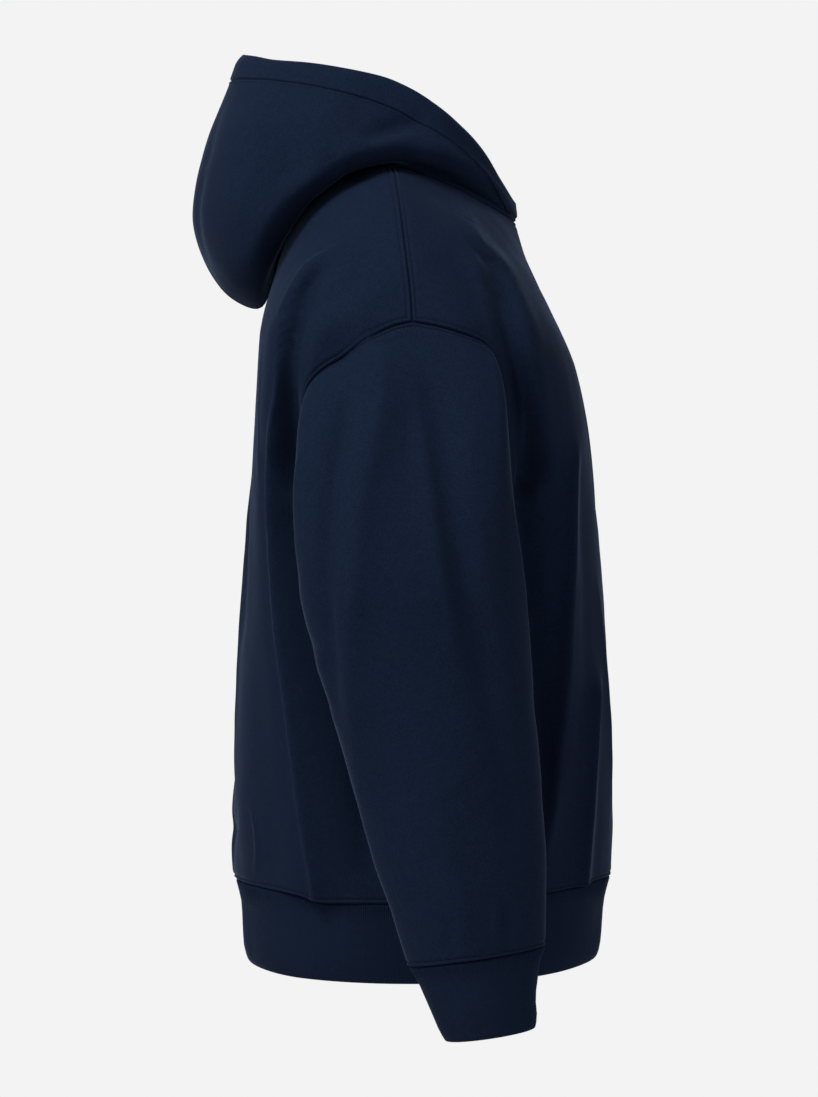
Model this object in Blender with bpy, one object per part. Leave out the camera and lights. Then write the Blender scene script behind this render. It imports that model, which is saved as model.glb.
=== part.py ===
"""Pullover hoodie as worn, with the hood down.

Metres, +Z up. The front faces -Y and the wearer's left is +X. The origin lies midway between the two
high shoulder points. Each cut piece is a closed wall of cloth of its own, 0.3 mm clear of the next.
"""

import math

import bpy
import numpy as np

MM = 0.001
COLLECTION = "pullover_hoodie"

# ---- cloth -------------------------------------------------------------------------------------
BODY_WALL = 2.4 * MM
HOOD_WALL = 2.6 * MM
HOOD_HEM_WALL = 4.4 * MM
RIB_WALL = 2.8 * MM
SEAM_GAP = 0.3 * MM

# ---- mesh density ------------------------------------------------------------------------------
NECK_COLUMNS = 6
SHOULDER_COLUMNS = 11
ARMHOLE_ROWS = 12
SIDE_ROWS = 8
SLEEVE_CAP_RINGS = 7
SLEEVE_RINGS = 8
HOOD_ROWS = 14

# ---- heights -----------------------------------------------------------------------------------
SHOULDER_POINT_Z = -150 * MM
UNDERARM_Z = -335 * MM
HEM_SEAM_Z = -664 * MM
HEM_EDGE_Z = -733 * MM
# Angle from the centre front in degrees, and how far the hem seam and the hem's edge rise there in mm.
HEM_SEAM_RISE = (
    (0, 14), (25, 15.5), (36, 15), (42, 13), (49, 10.8), (55, 9), (70, 4.5), (90, 1.5), (110, 1.2),
    (114, 2.4), (119, 6.8), (126, 9), (137, 11), (160, 12), (180, 11),
)
HEM_EDGE_RISE = ((0, 13), (30, 9.8), (60, 3.2), (90, 0), (120, 2.2), (150, 6.8), (180, 9))

# ---- rib knit ----------------------------------------------------------------------------------
HEM_RIBS = 150
CUFF_RIBS = 42
RIB_HEIGHT = 0.7 * MM

# Rings of the body in mm: height, half width, front, back, seam line, squareness in front and behind.
BODY_COLUMNS = ("z", "half", "front", "back", "side", "front_power", "back_power")
BODY = (
    (0, 95, -96, 70, 2, 1.20, 1.50),
    (-12, 130, -101, 77, -2, 1.20, 1.45),
    (-30, 167, -108, 85, -5, 1.30, 1.85),
    (-50, 197, -115, 93, -8, 1.60, 2.20),
    (-75, 223, -122, 102, -11, 2.00, 2.50),
    (-100, 243, -132, 110, -14, 2.40, 2.80),
    (-129, 259, -145, 118, -17, 2.70, 3.00),
    (-155, 267, -157, 123, -18, 2.90, 3.20),
    (-180, 265, -167, 125, -18, 3.00, 3.25),
    (-215, 252, -175, 127, -18, 3.00, 3.25),
    (-257, 236, -182, 130, -17, 2.90, 3.15),
    (-300, 221, -187, 133, -16, 2.75, 3.05),
    (-350, 213, -192, 136, -15, 2.65, 2.95),
    (-443, 213, -198, 141, -15, 2.60, 2.80),
    (-536, 215, -203, 145, -16, 2.60, 2.70),
    (-600, 215, -204, 147, -17, 2.55, 2.55),
    (-640, 213, -202, 147, -18, 2.50, 2.50),
    (-660, 209, -198, 143, -18, 2.50, 2.50),
    (-675, 206, -195, 140, -18, 2.50, 2.50),
    (-712, 203, -192, 138, -18, 2.50, 2.50),
    (-736, 196, -184, 131, -18, 2.50, 2.50),
)

# Neckline: angle from the centre front in degrees and height in mm.
NECKLINE = ((0, -45), (25, -41), (45, -31), (65, -15), (90, 0), (120, -5), (150, -9), (180, -10))

# Armhole seams in mm from the shoulder point to the underarm: front to back and height, the way the
# sleeve cloth sets off (out, forward or back, up) and how far that way holds.
ARMHOLE_COLUMNS = ("y", "z", "out", "along", "up", "pull")
ARMHOLE_FRONT = (
    (-18, -150, 0.42, 0.00, -0.91, 150),
    (-39, -154, 0.48, -0.04, -0.88, 150),
    (-60, -160, 0.58, -0.10, -0.80, 145),
    (-78, -167, 0.72, -0.22, -0.66, 130),
    (-89, -178, 0.84, -0.34, -0.44, 110),
    (-95, -205, 0.93, -0.26, -0.24, 88),
    (-93, -240, 0.95, -0.14, -0.26, 75),
    (-81, -282, 0.91, -0.10, -0.40, 60),
    (-54, -318, 0.82, -0.08, -0.56, 50),
    (-14, -335, 0.74, 0.00, -0.68, 45),
)
ARMHOLE_BACK = (
    (-18, -150, 0.42, 0.00, -0.91, 150),
    (0, -155, 0.48, 0.04, -0.88, 150),
    (20, -167, 0.56, 0.08, -0.82, 145),
    (40, -179, 0.66, 0.14, -0.74, 135),
    (61, -194, 0.78, 0.24, -0.56, 120),
    (74, -212, 0.88, 0.24, -0.36, 100),
    (78, -242, 0.95, 0.14, -0.26, 80),
    (71, -284, 0.91, 0.11, -0.38, 60),
    (38, -320, 0.82, 0.08, -0.56, 50),
    (-14, -335, 0.74, 0.00, -0.68, 45),
)

# Rings of the sleeve in mm below the cap: height, middle from side to side, half width, back edge,
# front edge and how much higher the front stands than the back.
SLEEVE_COLUMNS = ("z", "middle", "half", "back", "front", "tilt")
SLEEVE = (
    (-400, 288, 69, 77, -115, 0),
    (-450, 287, 67, 64, -120, 2),
    (-491, 286, 65, 52, -124, 4),
    (-526, 285, 63, 41, -128, 6),
    (-575, 283, 60, 27, -131, 9),
    (-621, 281, 57, 14, -134, 12),
    (-655, 279, 54, 1, -134, 15),
    (-685, 277, 50, -9, -134, 17),
    (-702, 276, 46, -15, -133, 18),
)

# Rings of the cuff in mm, as for the sleeve.
CUFF = (
    (-702, 276, 46, -15, -133, 18),
    (-712, 276, 43, -21, -129, 17),
    (-728, 275, 42, -28, -127, 16),
    (-745, 275, 41, -35, -125, 14),
    (-762, 274, 39, -42, -126, 12),
    (-769, 274, 38, -46, -125, 12),
)

# Hood sections in mm at angles round the neckline from the centre front: out, back and up of each
# place from the neck seam to the front edge. The neck seam itself comes from the neckline.
HOOD_PLACES = ("fold", "tuck", "low", "bottom", "heel", "belly", "middle", "hem", "edge")
HOOD = {
    0: ((0, -114, -43), (0, -114, -42), (0, -114, -41), (0, -115, -40), (0, -115, -39),
        (0, -115, -38), (0, -115, -37), (0, -115, -36), (0, -115, -28)),
    25: ((42, -103, -38), (43, -103, -36), (44, -104, -34), (45, -104, -32), (46, -104, -29),
         (46, -104, -27), (46, -104, -25), (46, -103, -23), (44, -100, -8)),
    45: ((70, -81, -26), (73, -82, -24), (76, -83, -21), (79, -83, -17), (82, -83, -12),
         (83, -83, -7), (82, -82, -2), (80, -81, 2), (73, -81, 21)),
    65: ((93, -46, -11), (98, -46, -9), (103, -47, -7), (109, -47, -4), (113, -47, 2),
         (115, -47, 9), (111, -47, 18), (106, -47, 27), (98, -48, 50)),
    90: ((101, 3, 4), (106, 3, 3), (112, 4, 2), (119, 4, 3), (125, 4, 9),
         (127, 3, 18), (117, 2, 31), (111, 1, 48), (105, -4, 75)),
    120: ((85, 54, 4), (98, 60, -8), (112, 65, -21), (126, 69, -27), (137, 72, -17),
          (138, 72, 3), (128, 68, 38), (107, 64, 68), (97, 53, 91)),
    150: ((50, 84, 9), (59, 93, -32), (75, 104, -75), (94, 116, -99), (113, 132, -93),
          (121, 147, -44), (106, 142, 24), (75, 124, 78), (64, 112, 101)),
    180: ((0, 86, 13), (0, 100, -42), (0, 115, -108), (0, 125, -124), (0, 156, -109),
          (0, 185, -50), (0, 176, 18), (0, 151, 85), (0, 142, 110)),
}
HOOD_HEM = 25 * MM
HOOD_LIFT = 3.2 * MM

# Folds of the body: side (-1 right, 1 left), width and height in mm, and the path as front to back
# and height in mm. A negative height is a valley.
FOLDS = (
    ("back ridge", -1, 24, 7.0, ((57, -79), (90, -120), (108, -210), (114, -291), (110, -407),
                                (96, -514), (80, -655))),
    ("back valley", -1, 22, -9.0, ((50, -112), (74, -150), (83, -200), (80, -320), (64, -420),
                                  (34, -530), (12, -640))),
    ("front ridge", -1, 21, 9.0, ((-68, -66), (-95, -102), (-113, -156), (-122, -222), (-124, -262))),
    ("front valley", -1, 20, -12.0, ((-56, -95), (-78, -130), (-96, -193), (-106, -260), (-118, -420),
                                    (-126, -560))),
    ("second ridge", -1, 18, 4.5, ((-166, -262), (-166, -400), (-163, -470), (-153, -560),
                                  (-141, -615))),
    ("hem ridge", -1, 15, 4.5, ((-185, -470), (-184, -560), (-179, -620), (-174, -690))),
    ("back ridge", 1, 25, 6.5, ((60, -82), (92, -124), (108, -220), (112, -300), (107, -410),
                               (94, -500), (84, -650))),
    ("back valley", 1, 22, -8.5, ((52, -112), (75, -155), (84, -210), (78, -330), (61, -430),
                                 (33, -540), (13, -645))),
    ("front ridge", 1, 22, 8.5, ((-66, -68), (-93, -104), (-112, -160), (-120, -230), (-122, -275))),
    ("front valley", 1, 21, -11.0, ((-55, -96), (-77, -133), (-96, -196), (-105, -270), (-116, -430),
                                   (-123, -550))),
    ("second ridge", 1, 18, 4.8, ((-168, -290), (-166, -420), (-160, -490), (-150, -575),
                                 (-138, -630))),
    ("hem ridge", 1, 16, 4.0, ((-184, -500), (-182, -580), (-177, -630), (-172, -680))),
)
FOLD_LEVELS = np.linspace(-760, 0, 191) * MM
FOLD_FADE = 55 * MM

# Folds of the sleeves: side, width, height and path in mm, as above.
SLEEVE_FOLDS = (
    ("outer ridge", -1, 26, 4.0, ((12, -205), (40, -316), (43, -404), (44, -500))),
    ("outer valley", -1, 26, -4.5, ((-30, -215), (-46, -316), (-62, -404), (-78, -470))),
    ("wrist ridge", -1, 18, 3.5, ((-20, -560), (-40, -610), (-62, -660), (-70, -690))),
    ("outer ridge", 1, 27, 3.8, ((8, -215), (36, -320), (42, -410), (46, -520))),
    ("outer valley", 1, 25, -4.2, ((-34, -210), (-50, -322), (-60, -400), (-74, -480))),
    ("wrist ridge", 1, 19, 3.2, ((-26, -570), (-44, -615), (-66, -662), (-76, -690))),
)


def spline(xs, ys, x, monotone=False):
    """Cubic through table rows. xs rises; ys may have several columns."""
    xs = np.asarray(xs, float)
    ys = np.asarray(ys, float)
    flat = ys.ndim == 1
    if flat:
        ys = ys[:, None]
    h = np.diff(xs)[:, None]
    d = np.diff(ys, axis=0) / h
    m = np.empty_like(ys)
    m[0] = d[0]
    m[-1] = d[-1]
    if monotone:
        same = d[:-1] * d[1:] > 0
        safe0 = np.where(same, d[:-1], 1.0)
        safe1 = np.where(same, d[1:], 1.0)
        m[1:-1] = np.where(same, 2.0 / (1.0 / safe0 + 1.0 / safe1), 0.0)
    else:
        m[1:-1] = (d[:-1] * h[1:] + d[1:] * h[:-1]) / (h[1:] + h[:-1])
    x = np.asarray(x, float)
    k = np.clip(np.searchsorted(xs, x, side="right") - 1, 0, len(xs) - 2)
    t = np.clip((x - xs[k]) / h[k, 0], 0.0, 1.0)[..., None]
    a = (1 + 2 * t) * (1 - t) ** 2
    b = t * (1 - t) ** 2
    c = t * t * (3 - 2 * t)
    e = t * t * (t - 1)
    out = a * ys[k] + b * h[k] * m[k] + c * ys[k + 1] + e * h[k] * m[k + 1]
    return out[..., 0] if flat else out


BODY_TABLE = np.array(BODY, float)[::-1]
BODY_TABLE[:, :5] *= MM


def body_row(z):
    """Half width, front, back, seam line and squareness at height z."""
    return spline(BODY_TABLE[:, 0], BODY_TABLE[:, 1:], z, monotone=True)


def angle_of(y, z):
    """Angle from the centre front of the ring point with the given y on the plain ring at z."""
    row = body_row(z)
    half, front, back, side, pf, pb = np.moveaxis(row, -1, 0)
    ahead = y < side
    depth = np.where(ahead, side - front, back - side)
    power = np.where(ahead, pf, pb)
    part = np.clip(np.abs(y - side) / depth, 0, 0.999)
    x = half * (1 - part**power) ** (1 / power)
    return np.arctan2(x, -(y - side))


def fade(z, top, bottom):
    """1 between the heights, falling to 0 over the fade length outside them."""
    up = np.clip((top - z) / FOLD_FADE + 0.5, 0, 1)
    down = np.clip((z - bottom) / FOLD_FADE + 0.5, 0, 1)
    return up * up * (3 - 2 * up) * down * down * (3 - 2 * down)


def swell(phi, z, turns):
    """How far the folds move the body's ring out, with each fold's line at an angle of turns."""
    r = plain_radius(phi, z)
    add = np.zeros_like(r)
    for (_name, _hand, wide, high, path), turn in zip(FOLDS, turns):
        off = (phi - turn) * r / (wide * MM)
        add = add + high * MM * np.exp(-(off**2)) * fade(z, path[0][1] * MM, path[-1][1] * MM)
    return add


def lay_folds():
    """Angle of each fold's line by height, with the folds' own heights allowed for."""
    z = FOLD_LEVELS
    wanted = []
    for _name, _hand, _wide, _high, path in FOLDS:
        pts = np.array(path[::-1], float) * MM
        wanted.append(spline(pts[:, 1], pts[:, 0], z))
    turns = [fold[1] * angle_of(y, z) for fold, y in zip(FOLDS, wanted)]
    for _ in range(3):
        turns = [
            fold[1] * angle_of(y + swell(turn, z, turns) * np.cos(turn), z)
            for fold, y, turn in zip(FOLDS, wanted, turns)
        ]
    return turns


def body_radius(phi, z, folded=True):
    """Distance from the ring's middle to the outer face at signed angle phi and height z."""
    r = plain_radius(phi, z)
    if folded:
        r = r + swell(phi, z, [np.interp(z, FOLD_LEVELS, turn) for turn in FOLD_TURNS])
    return r


def plain_radius(phi, z):
    """Distance from the ring's middle to the ring without its folds."""
    row = body_row(z)
    half, front, back, side, pf, pb = np.moveaxis(row, -1, 0)
    c = np.cos(phi)
    s = np.abs(np.sin(phi))
    depth = np.where(c > 0, side - front, back - side)
    power = np.where(c > 0, pf, pb)
    return ((np.abs(c) / depth) ** power + (s / half) ** power) ** (-1 / power)


FOLD_TURNS = lay_folds()


def body_point(phi, z, folded=True):
    """Outer face of the body at signed angle phi (0 front, + wearer's left) and height z."""
    phi, z = np.broadcast_arrays(np.asarray(phi, float), np.asarray(z, float))
    r = body_radius(phi, z, folded)
    side = body_row(z)[..., 3]
    return np.stack([r * np.sin(phi), side - r * np.cos(phi), z], axis=-1)


def neck_height(phi):
    """Height of the neck seam at angle phi from the centre front."""
    table = np.array(NECKLINE, float)
    return spline(np.radians(table[:, 0]), table[:, 1] * MM, phi)


def hem_height(phi, low, rise):
    """Height of a hem line at angle phi from the centre front."""
    table = np.array(rise, float)
    return low + spline(np.radians(table[:, 0]), table[:, 1] * MM, np.abs(phi), monotone=True)


def arc_rows(points, count):
    """Parameters 0..1 of count + 1 places evenly along a polyline of points."""
    step = np.linalg.norm(np.diff(points, axis=0), axis=1)
    run = np.concatenate([[0], np.cumsum(step)])
    want = np.linspace(0, run[-1], count + 1)
    return np.interp(want, run, np.linspace(0, 1, len(points)))


def armhole(front):
    """Even places down the armhole: angle from the panel's centre, height, set-off and pull."""
    table = np.array(ARMHOLE_FRONT if front else ARMHOLE_BACK, float)
    t = np.linspace(0, 1, len(table))
    fine = np.linspace(0, 1, 241)
    cols = spline(t, table, fine)
    angle = angle_of(cols[:, 0] * MM, cols[:, 1] * MM)
    angle[0] = math.pi / 2
    angle[-1] = math.pi / 2
    pts = body_point(angle, cols[:, 1] * MM)
    at = arc_rows(pts, ARMHOLE_ROWS)
    angle = np.interp(at, fine, angle)
    cols = np.stack([np.interp(at, fine, cols[:, k]) for k in range(6)], axis=-1)
    turn = angle if front else math.pi - angle
    return turn, cols[:, 1] * MM, cols[:, 2:5], cols[:, 5] * MM


def half_panel(front):
    """Angles from the panel's centre line and heights of one half, rows down by columns outward."""
    rows = ARMHOLE_ROWS + SIDE_ROWS
    cols = NECK_COLUMNS + SHOULDER_COLUMNS
    turn, height, _way, _pull = armhole(front)
    side_z = np.linspace(UNDERARM_Z, HEM_SEAM_Z, SIDE_ROWS + 1)[1:]
    outer_turn = np.concatenate([turn, np.full(SIDE_ROWS, math.pi / 2)])
    outer_z = np.concatenate([height, side_z])
    neck_turn = np.linspace(0, math.pi / 2, NECK_COLUMNS + 1)
    neck_z = neck_height(neck_turn if front else math.pi - neck_turn)
    fine = np.linspace(0, SHOULDER_POINT_Z, 121)
    seam = body_point(math.pi / 2, fine)
    seam_z = np.interp(arc_rows(seam, SHOULDER_COLUMNS), np.linspace(0, 1, 121), fine)[1:]
    top_turn = np.concatenate([neck_turn, np.full(SHOULDER_COLUMNS, math.pi / 2)])
    top_z = np.concatenate([neck_z, seam_z])
    u = np.linspace(0, 1, cols + 1)
    low_turn = np.interp(u, [0, 0.3, 0.5, 0.85, 1], np.radians([0, 20, 38, 72, 90]))
    down = np.arange(rows + 1) / rows
    mix = np.clip(down / 0.42, 0, 1)
    mix = (mix * mix * (3 - 2 * mix))[:, None] * 0.9 + np.clip(down / 0.42, 0, 1)[:, None] * 0.1
    share = (1 - mix) * (top_turn / (math.pi / 2)) + mix * (low_turn / (math.pi / 2))
    centre_z = np.concatenate([
        np.linspace(top_z[0], UNDERARM_Z, ARMHOLE_ROWS + 1),
        side_z,
    ])
    shift = (centre_z - centre_z[0])[:, None] * (1 - u) + (outer_z - outer_z[0])[:, None] * u
    even = centre_z[:, None] * (1 - u) + outer_z[:, None] * u
    z = (1 - mix) * (top_z + shift) + mix * even
    turn = outer_turn[:, None] * share
    hem = hem_height(turn[-1] if front else math.pi - turn[-1], HEM_SEAM_Z, HEM_SEAM_RISE)
    reach = np.clip((down - 0.5) / 0.5, 0, 1)[:, None] ** 2
    return turn, z + (hem - z[-1]) * reach


def panel(front):
    """Outer points of the whole front or back, rows down by columns from one side to the other."""
    turn, z = half_panel(front)
    turn = np.concatenate([-turn[:, :0:-1], turn], axis=1)
    z = np.concatenate([z[:, :0:-1], z], axis=1)
    if front:
        return body_point(turn, z)
    phi = np.where(turn >= 0, math.pi - turn, -math.pi - turn)
    return body_point(phi, z)


def sleeve_ring(row, around, hand):
    """Ring of a sleeve or cuff from a table row, at angles from outside through the front."""
    z, middle, half, back, front, tilt = (np.asarray(v)[..., None] * MM for v in row)
    y = (front + back) / 2 - (back - front) / 2 * np.sin(around)
    lean = tilt * np.sin(around) / 2
    x = hand * (middle + half * np.cos(around))
    return np.stack(np.broadcast_arrays(x, y, z + lean), axis=-1)


def sleeve(hand):
    """Outer points of a sleeve, rings down by columns round from the shoulder point forward."""
    ring = []
    way = []
    pull = []
    for front in (True, False):
        turn, height, to, hold = armhole(front)
        phi = turn if front else math.pi - turn
        pts = body_point(hand * phi, height)
        to = to * np.array([hand, 1, 1])
        if front:
            pick = slice(0, ARMHOLE_ROWS)
        else:
            pick = slice(ARMHOLE_ROWS, 0, -1)
        ring.append(pts[pick])
        way.append(to[pick])
        pull.append(hold[pick])
    ring = np.concatenate(ring)
    way = np.concatenate(way)
    way /= np.linalg.norm(way, axis=1)[:, None]
    pull = np.concatenate(pull)[:, None]
    around = np.arange(2 * ARMHOLE_ROWS) * math.pi / ARMHOLE_ROWS
    table = np.array(SLEEVE, float)[::-1]
    z = np.linspace(SLEEVE[0][0], SLEEVE[-1][0], SLEEVE_RINGS + 1)
    rows = spline(table[:, 0], table, z)
    low = sleeve_ring(rows.T, around, hand)
    t = np.linspace(0, 1, SLEEVE_CAP_RINGS + 1)[:-1, None, None]
    end = unit(low[1] - low[0]) * np.maximum(60 * MM, pull * 0.9)
    a = (1 + 2 * t) * (1 - t) ** 2
    b = t * (1 - t) ** 2
    c = t * t * (3 - 2 * t)
    e = t * t * (t - 1)
    cap = a * ring + b * way * pull * 1.6 + c * low[0] + e * end * 1.4
    pts = np.concatenate([cap, low])
    return clear_of_body(sleeve_folds(pts, hand), hand)


def sleeve_folds(pts, hand):
    """Moves the outer side of a sleeve out or in along its folds."""
    y = pts[..., 1]
    z = pts[..., 2]
    outside = np.clip((pts[..., 0] * hand - 0.275) / 0.03, 0, 1)
    add = np.zeros_like(y)
    for _name, side, wide, high, path in SLEEVE_FOLDS:
        if side != hand:
            continue
        line = np.array(path[::-1], float) * MM
        off = y - spline(line[:, 1], line[:, 0], z)
        add += high * MM * np.exp(-((off / (wide * MM)) ** 2)) * fade(z, line[-1, 1], line[0, 1])
    out = pts.copy()
    out[..., 0] += hand * add * outside
    return out


def clear_of_body(pts, hand, clear=4 * MM):
    """Keeps the inner side of a sleeve off the side of the body."""
    out = pts.copy()
    z = np.clip(out[..., 2], HEM_EDGE_Z, UNDERARM_Z)
    side = body_row(z)[..., 3]
    phi = np.arctan2(out[..., 0], -(out[..., 1] - side))
    r = np.hypot(out[..., 0], out[..., 1] - side)
    need = body_radius(phi, z) + clear
    below = np.clip((UNDERARM_Z - out[..., 2]) / (25 * MM), 0, 1)
    push = np.maximum(need - r, 0) * below
    out[..., 0] += hand * push / np.maximum(np.abs(np.sin(phi)), 0.5)
    return out


def hood(hand):
    """Outer points of half the hood, rows from the neck seam to the edge by columns front to back."""
    front_turn = np.linspace(0, math.pi / 2, NECK_COLUMNS + 1)
    phi = np.concatenate([front_turn, math.pi - front_turn[-2::-1]])
    neck = body_point(hand * phi, neck_height(phi))
    names = sorted(HOOD)
    half = np.array([HOOD[k] for k in names], float) * MM
    mirror = half * np.array([-1, 1, 1])
    table = np.concatenate([mirror[2:0:-1], half, mirror[-2:-4:-1]])
    stations = np.radians([-names[2], -names[1], *names, 360 - names[-2], 360 - names[-3]])
    flat = table.reshape(len(table), -1)
    marks = spline(stations, flat, phi).reshape(len(phi), -1, 3)
    marks[..., 0] *= hand
    marks = np.concatenate([neck[:, None], marks], axis=1)
    grid = []
    rows = (np.arange(HOOD_ROWS + 1) / HOOD_ROWS) ** 1.25
    for line in marks:
        step = np.sqrt(np.linalg.norm(np.diff(line, axis=0), axis=1))
        knots = np.concatenate([[0], np.cumsum(step)])
        fine = spline(knots, line, np.linspace(0, knots[-1], 301))
        run = np.concatenate([[0], np.cumsum(np.linalg.norm(np.diff(fine, axis=0), axis=1))])
        hem = min(HOOD_HEM, run[-1] * 0.55)
        want = np.concatenate([rows * (run[-1] - hem), run[-1] - hem * np.array([0.88, 0.45, 0])])
        grid.append(np.stack([np.interp(want, run, fine[:, k]) for k in range(3)], axis=-1))
    pts = np.stack(grid, axis=1)
    return lie_on_body(pts, neck)


def lie_on_body(pts, neck):
    """Lifts the underside of the hood clear of the shoulders and back."""
    out = pts.copy()
    z = np.clip(out[..., 2], -0.25, 0)
    side = body_row(z)[..., 3]
    phi = np.arctan2(out[..., 0], -(out[..., 1] - side))
    r = np.hypot(out[..., 0], out[..., 1] - side)
    away = np.linalg.norm(out - neck[None], axis=-1)
    need = body_radius(phi, z) + HOOD_LIFT * np.clip(away / (14 * MM), 0, 1)
    grow = np.where(out[..., 2] < 0, np.maximum(need - r, 0), 0)
    out[..., 0] += grow * np.sin(phi)
    out[..., 1] -= grow * np.cos(phi)
    return out


def unit(v):
    """Vectors scaled to length 1."""
    return v / np.maximum(np.linalg.norm(v, axis=-1), 1e-12)[..., None]


def grid_normals(pts, wrap=False):
    """Outward normals of a grid from the slopes down its rows and across its columns."""
    down = np.gradient(pts, axis=0)
    if wrap:
        across = (np.roll(pts, -1, axis=1) - np.roll(pts, 1, axis=1)) / 2
    else:
        across = np.gradient(pts, axis=1)
    return unit(np.cross(down, across))


class Sheet:
    """Grid of outer points of one piece with its wall thickness and its seam edges."""

    def __init__(self, name, pts, thick, seams, wrap=False, flip=False):
        self.name = name
        self.pts = pts
        self.moved = pts.copy()
        self.thick = np.broadcast_to(thick, pts.shape[:2]).copy()
        self.seams = seams
        self.wrap = wrap
        self.normals = grid_normals(pts, wrap) * (-1 if flip else 1)


def seam_places(sheet):
    """Row and column of every point on the seam edges of a sheet."""
    rows, cols = sheet.pts.shape[:2]
    edges = {
        "top": [(0, j) for j in range(cols)],
        "bottom": [(rows - 1, j) for j in range(cols)],
        "left": [(i, 0) for i in range(rows)],
        "right": [(i, cols - 1) for i in range(rows)],
    }
    return sorted({place for edge in sheet.seams for place in edges[edge]})


def into_cloth(sheet, i, j, corner):
    """Way from an edge point into its own cloth, square to the seam where the seam is plain."""
    rows, cols = sheet.pts.shape[:2]
    di = 1 if i == 0 else (-1 if i == rows - 1 else 0)
    dj = 0 if sheet.wrap else (1 if j == 0 else (-1 if j == cols - 1 else 0))
    here = sheet.pts[i, j]
    way = unit(sheet.pts[i + di, j + dj] - here)
    if corner or (di != 0 and dj != 0):
        return way
    if di != 0:
        along = unit(sheet.pts[i, (j + 1) % cols] - sheet.pts[i, j - 1])
    else:
        along = unit(sheet.pts[i + 1, j] - sheet.pts[i - 1, j])
    return unit(way - (way @ along) * along)


def point_key(p):
    """Key that matches points of two sheets at one place."""
    return tuple(np.round(p / 1e-6).astype(int))


def share_seams(sheets):
    """Gives points that pieces have in common one wall direction and draws the pieces apart."""
    total = {}
    owners = {}
    for sheet in sheets:
        rows, cols = sheet.pts.shape[:2]
        for i, j in seam_places(sheet):
            key = point_key(sheet.pts[i, j])
            total[key] = total.get(key, 0) + sheet.normals[i, j]
            owners.setdefault(key, []).append((sheet, i, j))
    for key, group in owners.items():
        corner = len(group) > 2
        ways = [into_cloth(sheet, i, j, corner) for sheet, i, j in group]
        mean = sum(ways) / len(ways)
        near = min(
            [np.linalg.norm(a - b) for n, a in enumerate(ways) for b in ways[:n]], default=2.0
        )
        for (sheet, i, j), way in zip(group, ways):
            sheet.normals[i, j] = unit(total[key])
            if len(group) > 1:
                sheet.moved[i, j] = sheet.pts[i, j] + (way - mean) * SEAM_GAP / max(near, 0.5)


def rim_faces(a, b, size, pts):
    """Two triangles of the wall end between edge points a and b, cut alike in both pieces of a seam."""
    first = tuple(np.round([pts[a][2], pts[a][1], abs(pts[a][0])], 6))
    second = tuple(np.round([pts[b][2], pts[b][1], abs(pts[b][0])], 6))
    if first < second:
        return [(a, b, size + b), (a, size + b, size + a)]
    return [(a, b, size + a), (b, size + b, size + a)]


def shell_faces(grid, wrap):
    """Faces of a closed wall whose outer points come first and inner points second."""
    rows, cols = grid.shape[:2]
    pts = grid.reshape(-1, 3)
    faces = []
    size = rows * cols
    last = cols if wrap else cols - 1
    for i in range(rows - 1):
        for j in range(last):
            a = i * cols + j
            b = i * cols + (j + 1) % cols
            c = (i + 1) * cols + (j + 1) % cols
            d = (i + 1) * cols + j
            if np.sum((pts[a] - pts[c]) ** 2) <= np.sum((pts[b] - pts[d]) ** 2):
                halves = ((a, d, c), (a, c, b))
            else:
                halves = ((a, d, b), (d, c, b))
            for face in halves:
                faces.append(face)
                faces.append(tuple(size + k for k in reversed(face)))
    for j in range(last):
        k = (j + 1) % cols
        faces += rim_faces(j, k, size, pts)
        faces += rim_faces((rows - 1) * cols + k, (rows - 1) * cols + j, size, pts)
    if not wrap:
        for i in range(rows - 1):
            faces += rim_faces((i + 1) * cols, i * cols, size, pts)
            faces += rim_faces(i * cols + cols - 1, (i + 1) * cols + cols - 1, size, pts)
    return faces


def volume(verts, faces):
    """Signed volume of a closed mesh."""
    total = 0.0
    for face in faces:
        p = verts[list(face)]
        for k in range(1, len(face) - 1):
            total += np.dot(p[0], np.cross(p[k], p[k + 1])) / 6
    return total


def material(name, colour, rough):
    """Principled cloth material."""
    mat = bpy.data.materials.new(name)
    mat.use_nodes = True
    shader = mat.node_tree.nodes["Principled BSDF"]
    shader.inputs["Base Color"].default_value = (*colour, 1)
    shader.inputs["Roughness"].default_value = rough
    shader.inputs["Sheen Weight"].default_value = 0.3
    return mat


NAVY = (0.008, 0.016, 0.036)
NAVY_RIB = (0.007, 0.014, 0.032)


def add_object(name, verts, faces, colour):
    """Puts a closed mesh in the hoodie's collection with a material of its own."""
    if volume(verts, faces) < 0:
        faces = [tuple(reversed(f)) for f in faces]
    mesh = bpy.data.meshes.new(name)
    mesh.from_pydata([tuple(v) for v in verts], [], faces)
    mesh.update()
    obj = bpy.data.objects.new(name, mesh)
    mesh.materials.append(material(name + "_cloth", colour, 0.9))
    bpy.data.collections[COLLECTION].objects.link(obj)
    return obj


def add_sheet(sheet):
    """Closed wall of one piece: outer points, inner points a wall further in, and rims."""
    outer = sheet.moved
    inner = outer - sheet.normals * sheet.thick[..., None]
    verts = np.concatenate([outer.reshape(-1, 3), inner.reshape(-1, 3)])
    return add_object(sheet.name, verts, shell_faces(sheet.pts, sheet.wrap), NAVY)


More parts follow.
